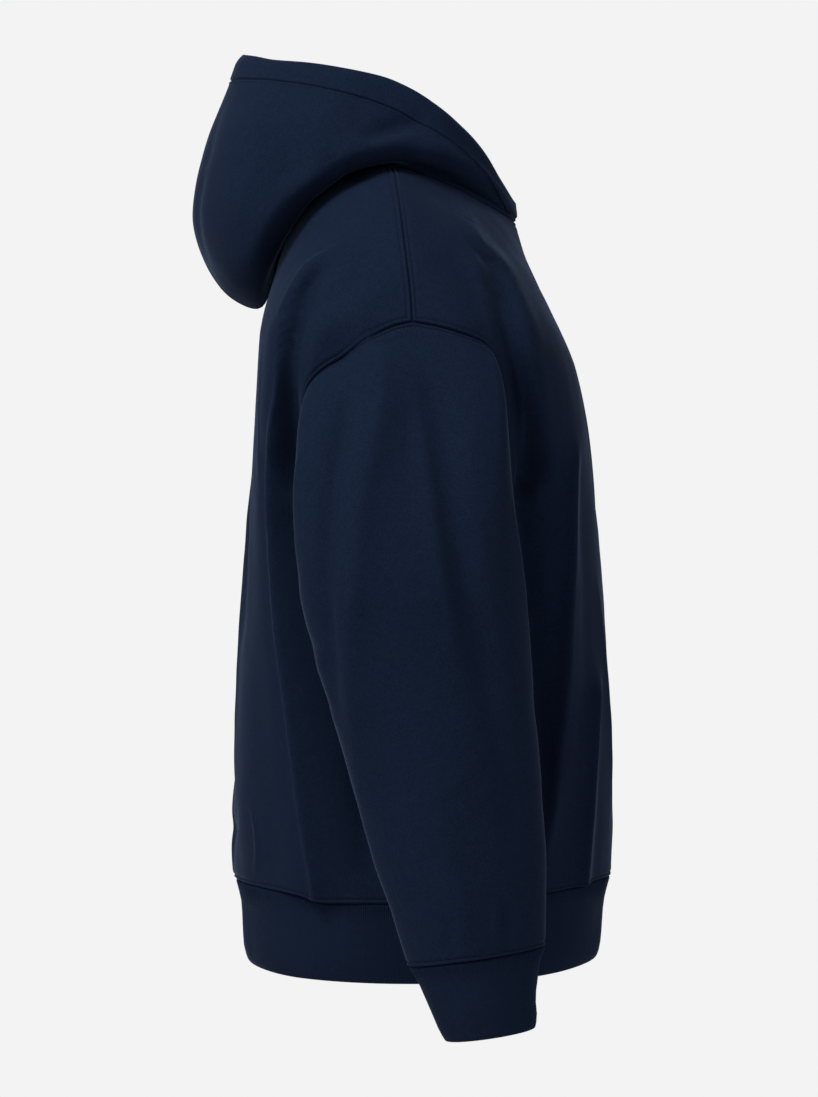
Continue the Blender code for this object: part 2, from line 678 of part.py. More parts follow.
def add_rib_band(name, rings, levels, ribs, step, up):
    """Rib knit tube: ribs raised on the outer rings over a plain inside.

    rings is a function of levels and angle steps that gives outer points and the way out, levels the
    outer rows from the seam to the edge, step the outer columns for each inner one.
    """
    count = 2 * ribs
    around = np.arange(count) * 2 * math.pi / count
    pts, out = rings(levels, around)
    crest = np.where(np.arange(count) % 2 == 0, 1.0, 0.0)
    raised = np.ones(len(levels))
    raised[0] = 0
    raised[-1] = 0
    outer = pts + out * (RIB_HEIGHT * raised[:, None] * crest)[..., None]
    outer[0] -= up * SEAM_GAP / 2
    ends, way = rings(levels[[0, -1]], around[::step])
    ends[0] -= up * SEAM_GAP / 2
    inner = ends - way * RIB_WALL
    rows = len(levels)
    few = count // step
    size = rows * count
    verts = np.concatenate([outer.reshape(-1, 3), inner.reshape(-1, 3)])
    faces = []
    for i in range(rows - 1):
        for j in range(count):
            k = (j + 1) % count
            faces.append((i * count + j, (i + 1) * count + j, (i + 1) * count + k, i * count + k))
    for j in range(few):
        k = (j + 1) % few
        faces.append((size + j, size + k, size + few + k, size + few + j))
        for base, ring, sign in ((0, 0, 1), ((rows - 1) * count, few, -1)):
            half = step // 2
            for m in range(step):
                p = base + (j * step + m) % count
                q = base + (j * step + m + 1) % count
                tip = size + ring + (j if m < half else k)
                faces.append((p, q, tip) if sign > 0 else (q, p, tip))
            mid = base + (j * step + half) % count
            tri = (mid, size + ring + k, size + ring + j)
            faces.append(tri if sign > 0 else tri[::-1])
    return add_object(name, verts, faces, NAVY_RIB)


def hem_rings(seam, ways):
    """Function of levels (0 seam to 1 edge) and angles for the hem band below a seam line."""
    side = body_row(seam[:, 2])[:, 3]
    turn = np.arctan2(seam[:, 0], -(seam[:, 1] - side))
    order = np.argsort(turn)
    line = np.concatenate([seam, ways], axis=1)[order]

    def rings(levels, around):
        phi = (around + math.pi) % (2 * math.pi) - math.pi
        top = np.stack(
            [np.interp(phi, turn[order], line[:, k], period=2 * math.pi) for k in range(6)], axis=-1
        )
        low = hem_height(phi, HEM_EDGE_Z, HEM_EDGE_RISE)
        z = top[:, 2] * (1 - levels[:, None]) + low * levels[:, None]
        pts = body_point(phi[None], z)
        pts[levels == 0] = top[:, :3]
        along = np.roll(pts, -1, axis=1) - np.roll(pts, 1, axis=1)
        out = unit(np.cross(along, np.array([0, 0, 1.0])))
        out[levels == 0] = top[:, 3:]
        return pts, out

    return rings


def cuff_rings(hand):
    """Function of levels and angles for one cuff."""

    def rings(levels, around):
        table = np.array(CUFF, float)[::-1]
        rows = spline(table[:, 0], table, levels)
        pts = sleeve_ring(rows.T, around * hand, hand)
        along = np.roll(pts, -1, axis=1) - np.roll(pts, 1, axis=1)
        tilt = (rows[:, 5] * MM)[:, None]
        wide = ((rows[:, 3] - rows[:, 4]) * MM)[:, None]
        plane = np.stack([tilt * 0, tilt / wide, tilt * 0 + 1], axis=-1)
        out = unit(np.cross(along, plane))
        return pts, out

    return rings


def build():
    """Makes every piece."""
    for obj in list(bpy.data.objects):
        bpy.data.objects.remove(obj)
    group = bpy.data.collections.new(COLLECTION)
    bpy.context.scene.collection.children.link(group)

    sheets = [
        Sheet("front_panel", panel(True), BODY_WALL, ("top", "left", "right")),
        Sheet("back_panel", panel(False), BODY_WALL, ("top", "left", "right"), flip=True),
    ]
    for hand, side in ((-1, "right"), (1, "left")):
        pts = sleeve(hand)
        sheets.append(
            Sheet("sleeve_" + side, pts, BODY_WALL, ("top",), wrap=True, flip=hand > 0)
        )
        pts = hood(hand)
        thick = np.full(pts.shape[:2], HOOD_WALL)
        thick[-3:] = HOOD_HEM_WALL
        sheets.append(Sheet("hood_" + side, pts, thick, ("top", "left", "right"), flip=hand > 0))
    share_seams(sheets)
    level_seam(sheets)
    for sheet in sheets:
        add_sheet(sheet)

    seam = np.concatenate([sheets[0].pts[-1], sheets[1].pts[-1, 1:-1]])
    ways = np.concatenate([sheets[0].normals[-1], sheets[1].normals[-1, 1:-1]])
    levels = np.array([0, 0.06, 0.92, 1])
    add_rib_band("hem_band", hem_rings(seam, ways), levels, HEM_RIBS, 4, np.array([0, 0, 1.0]))
    for hand, side in ((-1, "right"), (1, "left")):
        cuff_levels = np.array([-702, -707, -764, -769], float)
        tilt = 18 / 118
        up = unit(np.array([0, tilt, 1.0]))
        add_rib_band("cuff_" + side, cuff_rings(hand), cuff_levels, CUFF_RIBS, 4, up)


def level_seam(sheets):
    """Makes the wall ends at the hem and cuff seams lie in the plane of the seam, half a gap up."""
    for sheet in sheets:
        if sheet.name.endswith("panel"):
            n = sheet.normals[-1].copy()
            n[:, 2] = 0
            sheet.normals[-1] = unit(n)
            sheet.moved[-1, :, 2] += SEAM_GAP / 2
        if sheet.name.startswith("sleeve"):
            row = SLEEVE[-1]
            slope = row[5] / (row[3] - row[4])
            plane = unit(np.array([0, slope, 1.0]))
            n = sheet.normals[-1]
            n = n - (n @ plane)[:, None] * plane
            sheet.normals[-1] = unit(n)
            sheet.moved[-1] = sheet.pts[-1] + plane * SEAM_GAP / 2


build()
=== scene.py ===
"""Looks of a pullover hoodie as worn, with the hood down.

Metres, +Z up. The front faces -Y, the wearer's left is +X and the origin lies midway between the two
high shoulder points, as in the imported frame. Every cut piece is a thin closed shell on the form of its
solid, with finer folds, sewn seams, rib knit and thread, and a procedural cloth finish.
"""

from __future__ import annotations

import logging
import math
from collections.abc import Iterable
from dataclasses import dataclass, field, replace
from enum import Enum

import bpy
import numpy as np
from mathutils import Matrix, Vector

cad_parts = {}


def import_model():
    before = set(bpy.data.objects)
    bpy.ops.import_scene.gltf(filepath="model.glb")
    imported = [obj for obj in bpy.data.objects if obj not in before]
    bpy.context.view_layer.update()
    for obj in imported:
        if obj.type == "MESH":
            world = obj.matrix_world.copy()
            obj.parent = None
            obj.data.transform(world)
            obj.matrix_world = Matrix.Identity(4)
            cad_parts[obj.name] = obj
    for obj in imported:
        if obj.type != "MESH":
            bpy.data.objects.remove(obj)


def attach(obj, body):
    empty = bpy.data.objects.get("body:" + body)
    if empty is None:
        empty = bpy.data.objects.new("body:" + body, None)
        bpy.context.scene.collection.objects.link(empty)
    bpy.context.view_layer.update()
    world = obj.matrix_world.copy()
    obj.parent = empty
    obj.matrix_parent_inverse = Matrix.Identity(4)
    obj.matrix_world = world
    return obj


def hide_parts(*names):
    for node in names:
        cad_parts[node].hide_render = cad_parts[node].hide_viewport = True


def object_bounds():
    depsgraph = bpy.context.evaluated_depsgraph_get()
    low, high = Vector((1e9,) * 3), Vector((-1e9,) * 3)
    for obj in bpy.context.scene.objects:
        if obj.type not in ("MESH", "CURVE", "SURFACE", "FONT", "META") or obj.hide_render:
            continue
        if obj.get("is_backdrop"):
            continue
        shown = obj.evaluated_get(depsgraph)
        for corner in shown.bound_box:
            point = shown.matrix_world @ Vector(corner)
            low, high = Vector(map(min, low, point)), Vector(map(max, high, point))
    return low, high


LOG = logging.getLogger("hoodie")
MM = 0.001
Array = np.ndarray
Triple = tuple[float, float, float]
Colour = Triple
Places = tuple[tuple[float, float], ...]
# points along a line with the ways out of the cloth there
Line = tuple[Array, Array]
# readings along a curve that is measured by its length
FINE = 601


class Hand(Enum):
    """Side of the wearer, with its sign along X."""

    RIGHT = -1
    LEFT = 1


class Face(Enum):
    """Which half of the body a panel covers."""

    FRONT = "front"
    BACK = "back"


class Edge(Enum):
    """Edge of a piece's grid."""

    TOP = "top"
    BOTTOM = "bottom"
    FIRST = "first column"
    LAST = "last column"


# ----- Numbers -----


def unit(v: Array) -> Array:
    """Vectors scaled to length 1."""
    return v / np.maximum(np.linalg.norm(v, axis=-1), 1e-12)[..., None]


def ease(x: Array) -> Array:
    """Smooth step from 0 to 1: 3x^2 - 2x^3 of x held to 0..1."""
    x = np.clip(x, 0.0, 1.0)
    return x * x * (3 - 2 * x)


def bump_at(x: Array, middle: float, width: float) -> Array:
    """Gaussian hump of height 1: exp(-((x - middle) / width)^2)."""
    return np.exp(-(((x - middle) / width) ** 2))


def crest(x: Array, width: float, sharp: float) -> Array:
    """Ridge of height 1 with a tight top and long flanks.

    exp((a - sqrt(x^2 + a^2)) / (0.75 width)) with a = sharp width, or a Gaussian where sharp is 0.

    Args:
        x: Distance from the ridge's line.
        width: Half width at about 1/e.
        sharp: How round the top is, as a share of the width.
    """
    if not sharp:
        return bump_at(x, 0, width)
    top = sharp * width
    return np.exp((top - np.sqrt(x * x + top * top)) / (0.75 * width))


def spline(xs: Array, ys: Array, x: Array, monotone: bool = False) -> Array:
    """Cubic through table rows.

    Args:
        xs: Rising places of the rows.
        ys: Values, in one or several columns.
        x: Where to read the curve.
        monotone: Keeps each stretch between its rows' values, with harmonic mean slopes.

    Returns:
        Hermite cubic h00 y0 + h10 h m0 + h01 y1 + h11 h m1 at each x.
    """
    xs = np.asarray(xs, float)
    ys = np.asarray(ys, float)
    flat = ys.ndim == 1
    if flat:
        ys = ys[:, None]
    h = np.diff(xs)[:, None]
    d = np.diff(ys, axis=0) / h
    m = np.empty_like(ys)
    m[0] = d[0]
    m[-1] = d[-1]
    if monotone:
        same = d[:-1] * d[1:] > 0
        safe0 = np.where(same, d[:-1], 1.0)
        safe1 = np.where(same, d[1:], 1.0)
        m[1:-1] = np.where(same, 2.0 / (1.0 / safe0 + 1.0 / safe1), 0.0)
    else:
        m[1:-1] = (d[:-1] * h[1:] + d[1:] * h[:-1]) / (h[1:] + h[:-1])
    x = np.asarray(x, float)
    k = np.clip(np.searchsorted(xs, x, side="right") - 1, 0, len(xs) - 2)
    t = np.clip((x - xs[k]) / h[k, 0], 0.0, 1.0)[..., None]
    out = (
        (1 + 2 * t) * (1 - t) ** 2 * ys[k]
        + t * (1 - t) ** 2 * h[k] * m[k]
        + t * t * (3 - 2 * t) * ys[k + 1]
        + t * t * (t - 1) * h[k] * m[k + 1]
    )
    return out[..., 0] if flat else out


def run_length(line: Array, axis: int = 0) -> Array:
    """Length along a polyline up to each of its points.

    Args:
        line: Points of the polyline, or of many side by side.
        axis: Axis that runs along it.
    """
    step = np.linalg.norm(np.diff(line, axis=axis), axis=-1)
    first = np.zeros_like(np.take(step, [0], axis=axis))
    return np.cumsum(np.concatenate([first, step], axis=axis), axis=axis)


# distances from a seam at which cloth has a row of points, in millimetres
NEAR_SEAM = (0.0, 0.45, 0.9, 1.4, 1.9, 2.5, 3.1, 3.7, 4.3, 5.0, 5.9, 7.1, 8.8, 11.0)


def graded(length: float, step: float, start: bool, end: bool) -> Array:
    """An odd number of places from 0 to 1 along a length, close together where a seam lies at an end.

    Args:
        length: Length in metres.
        step: Spacing away from the seams.
        start: True for a seam at 0.
        end: True for a seam at 1.

    Returns:
        Places from 0 to 1.
    """
    near = np.array(NEAR_SEAM) * MM
    head = near if start else near[:1]
    tail = length - (near[::-1] if end else near[:1])
    count = max(2, round((tail[0] - head[-1]) / step))
    count += (len(head) + len(tail) + count) % 2
    middle = np.linspace(head[-1], tail[0], count + 1)[1:-1]
    return np.concatenate([head, middle, tail]) / length


def grid_normals(pts: Array, wrap: bool, flip: bool) -> Array:
    """Outward normals of a grid: slope down the rows crossed with slope across the columns.

    Args:
        pts: Grid of points.
        wrap: True where the last column meets the first.
        flip: True where the columns run clockwise seen from outside.

    Returns:
        A unit vector for each point.
    """
    down = np.gradient(pts, axis=0)
    if wrap:
        across = np.roll(pts, -1, axis=1) - np.roll(pts, 1, axis=1)
    else:
        across = np.gradient(pts, axis=1)
    return unit(np.cross(down, across)) * (-1 if flip else 1)


# points that are set against a line at once, and sine waves in a swell
BLOCK = 8192
WAVES = 9


def nearest(pts: Array, line: Array) -> tuple[Array, Array]:
    """Distance of each point from a polyline, and where along it the nearest place is.

    Args:
        pts: Points, any shape with a last axis of 3.
        line: Points of the polyline.

    Returns:
        Distances, and places as a segment number plus the share of that segment.
    """
    flat = pts.reshape(-1, 3)
    best = np.empty(len(flat), int)
    size = np.sum(line * line, axis=1)
    for start in range(0, len(flat), BLOCK):
        part = flat[start : start + BLOCK]
        best[start : start + BLOCK] = np.argmin(size - 2 * part @ line.T, axis=1)
    gap = np.full(len(flat), np.inf)
    place = np.zeros(len(flat))
    for shift in (-1, 0):
        k = np.clip(best + shift, 0, len(line) - 2)
        a = line[k]
        ab = line[k + 1] - a
        t = np.clip(np.sum((flat - a) * ab, axis=1) / np.maximum(np.sum(ab * ab, axis=1), 1e-18), 0, 1)
        d = np.linalg.norm(flat - a - ab * t[:, None], axis=1)
        nearer = d < gap
        gap = np.where(nearer, d, gap)
        place = np.where(nearer, k + t, place)
    return gap.reshape(pts.shape[:-1]), place.reshape(pts.shape[:-1])


def along_line(values: Array, place: Array) -> Array:
    """Rows of values read at segment number plus share.

    Args:
        values: A row for each point of the line.
        place: Places as `nearest` gives them.

    Returns:
        A row for each place.
    """
    k = np.clip(place.astype(int), 0, len(values) - 2)
    t = np.clip(place - k, 0, 1)[..., None]
    return values[k] * (1 - t) + values[k + 1] * t


def unevenness(pts: Array, length: float, seed: int) -> Array:
    """Soft swell between about -1 and 1: a sum of sine waves in turned directions.

    Args:
        pts: Points.
        length: Usual distance from crest to crest.
        seed: Picks the set of waves.
    """
    rng = np.random.default_rng(seed)
    total = np.zeros(pts.shape[:-1])
    for _ in range(WAVES):
        way = unit(rng.normal(size=3)) * 2 * math.pi / (length * rng.uniform(0.7, 1.6))
        total += np.sin(pts @ way + rng.uniform(0, 2 * math.pi))
    return total / (WAVES / 2)


# ----- Form of the body -----


@dataclass(frozen=True)
class Fold:
    """A long fold down the body or a sleeve, in millimetres.

    Args:
        name: Where it lies.
        width: Half width at 1/e.
        height: How far it stands out, or in where negative.
        path: Places front to back and in height, from the top down.
        sharp: How tight its top is.
        fade: Length over which each end dies away.
        behind: Half width at its back where that differs.
        hand: Side that it lies on, -1 for the right.
    """

    name: str
    width: float
    height: float
    path: Places
    sharp: float = 0.0
    fade: float = 55.0
    behind: float = 0.0
    hand: int = -1

    def line(self) -> Array:
        """Path in metres with heights rising."""
        return np.array(self.path[::-1], float) * MM

    def rise(self, off: Array, z: Array) -> Array:
        """Height in metres.

        Args:
            off: Distance behind the fold's line.
            z: Height up the garment.
        """
        ends = self.line()[[0, -1], 1]
        level = fade(z, ends[1], ends[0], self.fade * MM)
        width = np.where(off > 0, self.behind or self.width, self.width) * MM
        return self.height * MM * crest(off, width, self.sharp) * level

    def across(self, back: float, drop: float, scale: float) -> Fold:
        """The like fold on the other side.

        Args:
            back: How far it is moved back, in millimetres.
            drop: How far it is moved up.
            scale: Its height against this one's.
        """
        path = tuple((y + back, z + drop) for y, z in self.path)
        return replace(self, hand=-self.hand, height=self.height * scale, path=path)


# tight lines along the broad folds of the right side
FINE_FOLDS = (
    Fold("back crest", 24, 8.5, (
        (52, -82), (71, -92), (85, -109), (92, -121), (97, -131), (102, -155), (106, -185), (108, -215),
        (111, -240), (112, -320), (107, -401), (96, -482), (82, -588), (76, -624), (71, -660), (68, -740),
    ), 0.1, 30, 5),
    Fold("back crest, outer", 4, 1.6, ((117, -170), (119, -204), (120, -240), (120, -285)), 0.4, 40),
    Fold("back trough", 12, -15.0, (
        (62, -100), (73, -128), (80, -158), (84, -187), (84, -215), (82, -245), (79, -290),
    ), 0.0, 50, 12),
    Fold("back trough, low", 13, -5.0, (
        (78, -300), (74, -370), (60, -430), (46, -485), (30, -540), (17, -600),
    ), 0.0, 60),
    Fold("shoulder edge, back", 20, 5.0, (
        (56, -112), (62, -130), (66, -155), (70, -185), (74, -207), (78, -232),
    ), 0.2, 30, 9),
    Fold("front crest", 9, 9.0, (
        (-69, -54), (-79, -74), (-88, -90), (-99, -113), (-106, -134), (-113, -156), (-119, -187),
        (-124, -205), (-128, -240), (-129, -300),
    ), 0.3, 30, 5),
    Fold("chest swell", 13, 2.4, (
        (-60, -45), (-69, -54), (-89, -82), (-104, -98), (-120, -130), (-134, -170),
    ), 0.0, 40),
    Fold("front trough", 12, -23.0, (
        (-78, -80), (-87, -108), (-92, -127), (-97, -151), (-101, -172), (-104, -190), (-110, -235),
        (-114, -290),
    ), 0.0, 40, 12),
    Fold("front trough, low", 15, -4.0, (
        (-109, -280), (-118, -376), (-124, -429), (-128, -482), (-132, -535), (-134, -600),
    ), 0.2, 50),
    Fold("shoulder edge, front", 7, 4.0, (
        (-71, -80), (-77, -108), (-80, -127), (-85, -151), (-89, -172), (-91, -186),
    ), 0.1, 26, 12),
    Fold("second crest", 11, 9.0, (
        (-166, -270), (-165, -298), (-165, -344), (-162, -391), (-158, -461), (-153, -516), (-147, -569),
        (-141, -600), (-137, -616),
    ), 0.35, 60, 6),
    Fold("hem crest", 9, 5.5, (
        (-188, -470), (-186, -516), (-183, -563), (-179, -610), (-175, -649), (-172, -676),
    ), 0.35, 26, 5),
    Fold("seat crease", 4, 2.0, ((127, -585), (124, -602), (123, -615), (123, -628), (124, -638)), 0.4, 18),
)
# how far back and up each of them is moved on the left side, and its height against the right
FAR_SIDE = (
    (2, -6, 0.95), (-1, 10, 0.9), (1, -8, 0.95), (2, -10, 1.0), (2, -4, 0.9), (1, -5, 0.95),
    (3, 6, 1.0), (1, -6, 0.95), (2, 8, 0.9), (1, -4, 1.0), (-2, -16, 0.9), (3, -10, 0.85),
    (4, 12, 0.8),
)


@dataclass(frozen=True)
class BodySizes:
    """Section tables of the body. Rows hold millimetres."""

    shoulder_point: float = -150 * MM
    underarm: float = -335 * MM
    hem_seam: float = -664 * MM
    hem_edge: float = -733 * MM
    # angle from the centre front in degrees, how far the hem seam and the hem's edge rise there
    hem_seam_rise: Places = (
        (0, 14), (25, 15.5), (36, 15), (42, 13), (49, 10.8), (55, 9), (70, 4.5), (90, 1.5), (110, 1.2),
        (114, 2.4), (119, 6.8), (126, 9), (137, 11), (160, 12), (180, 11),
    )
    hem_edge_rise: Places = (
        (0, 13), (30, 9.8), (60, 3.2), (90, 0), (120, 2.2), (150, 6.8), (180, 9),
    )
    # height, half width, front, back, seam line, squareness in front and behind
    rings: tuple[tuple[float, ...], ...] = (
        (0, 95, -96, 70, 2, 1.20, 1.50),
        (-12, 130, -101, 77, -2, 1.20, 1.45),
        (-30, 167, -108, 85, -5, 1.30, 1.85),
        (-50, 197, -115, 93, -8, 1.60, 2.20),
        (-75, 223, -122, 102, -11, 2.00, 2.50),
        (-100, 243, -132, 109, -14, 2.40, 3.00),
        (-129, 259, -145, 117, -17, 2.70, 3.50),
        (-155, 267, -157, 121, -18, 2.90, 4.10),
        (-180, 265, -167, 122, -18, 3.00, 4.50),
        (-215, 252, -175, 124, -18, 3.00, 4.70),
        (-257, 236, -182, 127, -17, 2.90, 4.60),
        (-300, 221, -187, 131, -16, 2.75, 4.20),
        (-350, 213, -192, 134, -15, 2.65, 3.70),
        (-443, 213, -198, 140, -15, 2.60, 3.20),
        (-536, 215, -203, 145, -16, 2.60, 2.90),
        (-600, 215, -204, 147, -17, 2.55, 2.65),
        (-640, 213, -202, 147, -18, 2.50, 2.50),
        (-660, 209, -198, 143, -18, 2.50, 2.50),
        (-675, 206, -195, 140, -18, 2.50, 2.50),
        (-712, 203, -192, 138, -18, 2.50, 2.50),
        (-736, 196, -184, 131, -18, 2.50, 2.50),
    )
    # angle from the centre front in degrees, height
    neckline: Places = (
        (0, -45), (25, -41), (45, -31), (65, -15), (90, 0), (120, -5), (150, -9), (180, -10),
    )
    folds: tuple[Fold, ...] = (
        Fold("back ridge", 24, 7.0, (
            (57, -79), (90, -120), (108, -210), (114, -291), (110, -407), (96, -514), (80, -655),
        )),
        Fold("back valley", 22, -9.0, (
            (50, -112), (74, -150), (83, -200), (80, -320), (64, -420), (34, -530), (12, -640),
        )),
        Fold("front ridge", 21, 9.0, ((-68, -66), (-95, -102), (-113, -156), (-122, -222), (-124, -262))),
        Fold("front valley", 20, -12.0, (
            (-56, -95), (-78, -130), (-96, -193), (-106, -260), (-118, -420), (-126, -560),
        )),
        Fold("second ridge", 18, 4.5, (
            (-166, -262), (-166, -400), (-163, -470), (-153, -560), (-141, -615),
        )),
        Fold("hem ridge", 15, 4.5, ((-185, -470), (-184, -560), (-179, -620), (-174, -690))),
        Fold("back ridge", 25, 6.5, (
            (60, -82), (92, -124), (108, -220), (112, -300), (107, -410), (94, -500), (84, -650),
        ), hand=1),
        Fold("back valley", 22, -8.5, (
            (52, -112), (75, -155), (84, -210), (78, -330), (61, -430), (33, -540), (13, -645),
        ), hand=1),
        Fold("front ridge", 22, 8.5, (
            (-66, -68), (-93, -104), (-112, -160), (-120, -230), (-122, -275),
        ), hand=1),
        Fold("front valley", 21, -11.0, (
            (-55, -96), (-77, -133), (-96, -196), (-105, -270), (-116, -430), (-123, -550),
        ), hand=1),
        Fold("second ridge", 18, 4.8, (
            (-168, -290), (-166, -420), (-160, -490), (-150, -575), (-138, -630),
        ), hand=1),
        Fold("hem ridge", 16, 4.0, ((-184, -500), (-182, -580), (-177, -630), (-172, -680)), hand=1),
        *FINE_FOLDS,
        *(fold.across(*change) for fold, change in zip(FINE_FOLDS, FAR_SIDE)),
    )


def fade(z: Array, top: float, bottom: float, over: float) -> Array:
    """1 between two heights, easing to 0 over a length centred on each."""
    return ease((top - z) / over + 0.5) * ease((z - bottom) / over + 0.5)


class BodyForm:
    """Outer face of the body as rings of a squared oval with long folds."""

    # heights at which the folds' lines are worked out, and how often their heights are allowed for
    fold_levels = np.linspace(-760, 0, 191) * MM
    rounds = 3

    def __init__(self, sizes: BodySizes) -> None:
        """Reads the sections and lays the folds."""
        self.sizes = sizes
        self.table = np.array(sizes.rings, float)[::-1]
        self.table[:, :5] *= MM
        self.turns = self.lay_folds()

    def lay_folds(self) -> Array:
        """Angle of each fold's line by height, with the folds' own heights allowed for.

        A fold that moves the ring out by h at an angle phi moves it back by -h cos phi.

        Returns:
            Folds by heights, in radians.
        """
        z = self.fold_levels
        folds = self.sizes.folds
        lines = [fold.line() for fold in folds]
        wanted = [spline(line[:, 1], line[:, 0], z) for line in lines]
        turns = [fold.hand * self.angle_of(y, z) for fold, y in zip(folds, wanted)]
        for _ in range(self.rounds):
            turns = [
                fold.hand * self.angle_of(y + self.swell(turn, z, turns) * np.cos(turn), z)
                for fold, y, turn in zip(folds, wanted, turns)
            ]
        return np.array(turns)

    def swell(self, phi: Array, z: Array, turns: Iterable[Array]) -> Array:
        """How far the folds move the ring out.

        Args:
            phi: Angle from the centre front.
            z: Height.
            turns: Angle of each fold's line there.

        Returns:
            Metres at each point.
        """
        r = self.plain_radius(phi, z)
        return sum(
            fold.rise(fold.hand * (phi - turn) * r, z) for fold, turn in zip(self.sizes.folds, turns)
        )

    def row(self, z: Array) -> Array:
        """Half width, front, back, seam line and squareness at a height."""
        return spline(self.table[:, 0], self.table[:, 1:], z, monotone=True)

    def angle_of(self, y: Array, z: Array) -> Array:
        """Angle from the centre front of the plain ring's point with a given y.

        Args:
            y: Place front to back.
            z: Height.

        Returns:
            Angles from 0 to pi, the same for both sides.
        """
        half, front, back, side, power_f, power_b = np.moveaxis(self.row(z), -1, 0)
        ahead = y < side
        depth = np.where(ahead, side - front, back - side)
        power = np.where(ahead, power_f, power_b)
        part = np.clip(np.abs(y - side) / depth, 0, 0.999)
        return np.arctan2(half * (1 - part**power) ** (1 / power), -(y - side))

    def radius(self, phi: Array, z: Array) -> Array:
        """Distance of the face from the ring's middle, with the folds."""
        turns = (np.interp(z, self.fold_levels, turn) for turn in self.turns)
        return self.plain_radius(phi, z) + self.swell(phi, z, turns)

    def plain_radius(self, phi: Array, z: Array) -> Array:
        """Distance r of the plain ring: ((|cos phi| / depth)^p + (|sin phi| / half)^p)^(-1/p).

        Args:
            phi: Angle from the centre front.
            z: Height.

        Returns:
            Metres from the ring's middle.
        """
        half, front, back, side, power_f, power_b = np.moveaxis(self.row(z), -1, 0)
        c = np.cos(phi)
        depth = np.where(c > 0, side - front, back - side)
        power = np.where(c > 0, power_f, power_b)
        return ((np.abs(c) / depth) ** power + (np.abs(np.sin(phi)) / half) ** power) ** (-1 / power)

    def point(self, phi: Array, z: Array) -> Array:
        """Face at a signed angle (0 at the front, + to the wearer's left) and height.

        Args:
            phi: Angle.
            z: Height.

        Returns:
            Points, with a last axis of 3.
        """
        phi, z = np.broadcast_arrays(np.asarray(phi, float), np.asarray(z, float))
        r = self.radius(phi, z)
        return np.stack([r * np.sin(phi), self.row(z)[..., 3] - r * np.cos(phi), z], axis=-1)

    def neck_height(self, phi: Array) -> Array:
        """Height of the neck seam at an angle from the centre front."""
        table = np.array(self.sizes.neckline, float)
        return spline(np.radians(table[:, 0]), table[:, 1] * MM, np.abs(phi))

    def hem_height(self, phi: Array, low: float, rise: Places) -> Array:
        """Height of a hem line.

        Args:
            phi: Angle from the centre front.
            low: Height of its lowest level.
            rise: Angles in degrees and how far it rises there.

        Returns:
            Heights in metres.
        """
        table = np.array(rise, float)
        turn = np.abs(np.arctan2(np.sin(phi), np.cos(phi)))
        return low + spline(np.radians(table[:, 0]), table[:, 1] * MM, turn, monotone=True)

    def lift_off(self, pts: Array, need: Array) -> Array:
        """How much further out each point has to be to stand clear of the body.

        Args:
            pts: Points.
            need: Distance to keep from the face.

        Returns:
            Metres outward, 0 where a point is clear.
        """
        side = self.row(pts[..., 2])[..., 3]
        phi = np.arctan2(pts[..., 0], -(pts[..., 1] - side))
        r = np.hypot(pts[..., 0], pts[..., 1] - side)
        return np.maximum(self.radius(phi, pts[..., 2]) + need - r, 0)

    def angle(self, pts: Array) -> Array:
        """Signed angle of points round the body."""
        return np.arctan2(pts[..., 0], -(pts[..., 1] - self.row(pts[..., 2])[..., 3]))


# front to back, height, the way the sleeve sets off (out, along, up), how far it holds
ARMHOLE_TABLES = {
    Face.FRONT: (
        (-18, -150, 0.42, 0.00, -0.91, 150),
        (-39, -154, 0.48, -0.04, -0.88, 150),
        (-60, -160, 0.58, -0.10, -0.80, 145),
        (-78, -167, 0.72, -0.22, -0.66, 130),
        (-89, -178, 0.84, -0.34, -0.44, 110),
        (-95, -205, 0.93, -0.26, -0.24, 88),
        (-93, -240, 0.95, -0.14, -0.26, 75),
        (-81, -282, 0.91, -0.10, -0.40, 60),
        (-54, -318, 0.82, -0.08, -0.56, 50),
        (-14, -335, 0.74, 0.00, -0.68, 45),
    ),
    Face.BACK: (
        (-18, -150, 0.42, 0.00, -0.91, 150),
        (0, -155, 0.48, 0.04, -0.88, 150),
        (20, -167, 0.56, 0.08, -0.82, 145),
        (40, -179, 0.66, 0.14, -0.74, 135),
        (61, -194, 0.78, 0.24, -0.56, 120),
        (74, -212, 0.88, 0.24, -0.36, 100),
        (78, -242, 0.95, 0.14, -0.26, 80),
        (71, -284, 0.91, 0.11, -0.38, 60),
        (38, -320, 0.82, 0.08, -0.56, 50),
        (-14, -335, 0.74, 0.00, -0.68, 45),
    ),
}


class Armhole:
    """Half of an armhole seam, from the shoulder point to the underarm, read at shares of its length."""

    def __init__(self, body: BodyForm, face: Face) -> None:
        """Lays the seam on the body."""
        table = np.array(ARMHOLE_TABLES[face], float)
        self.columns = spline(np.linspace(0, 1, len(table)), table, np.linspace(0, 1, 2 * FINE - 1))
        y = self.columns[:, 0] * MM
        z = self.columns[:, 1] * MM
        self.angles = body.angle_of(y, z)
        self.angles[[0, -1]] = math.pi / 2
        run = run_length(body.point(self.angles, z))
        self.shares = run / run[-1]

    def read(self, share: Array) -> tuple[Array, Array, Array, Array]:
        """Angle from the centre front, height, set-off and pull at shares of the seam.

        Args:
            share: Shares of the length, 0 at the shoulder point.

        Returns:
            An array of each.
        """
        angle = np.interp(share, self.shares, self.angles)
        cols = np.stack([np.interp(share, self.shares, self.columns[:, k]) for k in range(6)], axis=-1)
        return angle, cols[:, 1] * MM, cols[:, 2:5], cols[:, 5] * MM


# ----- Cloth grids -----


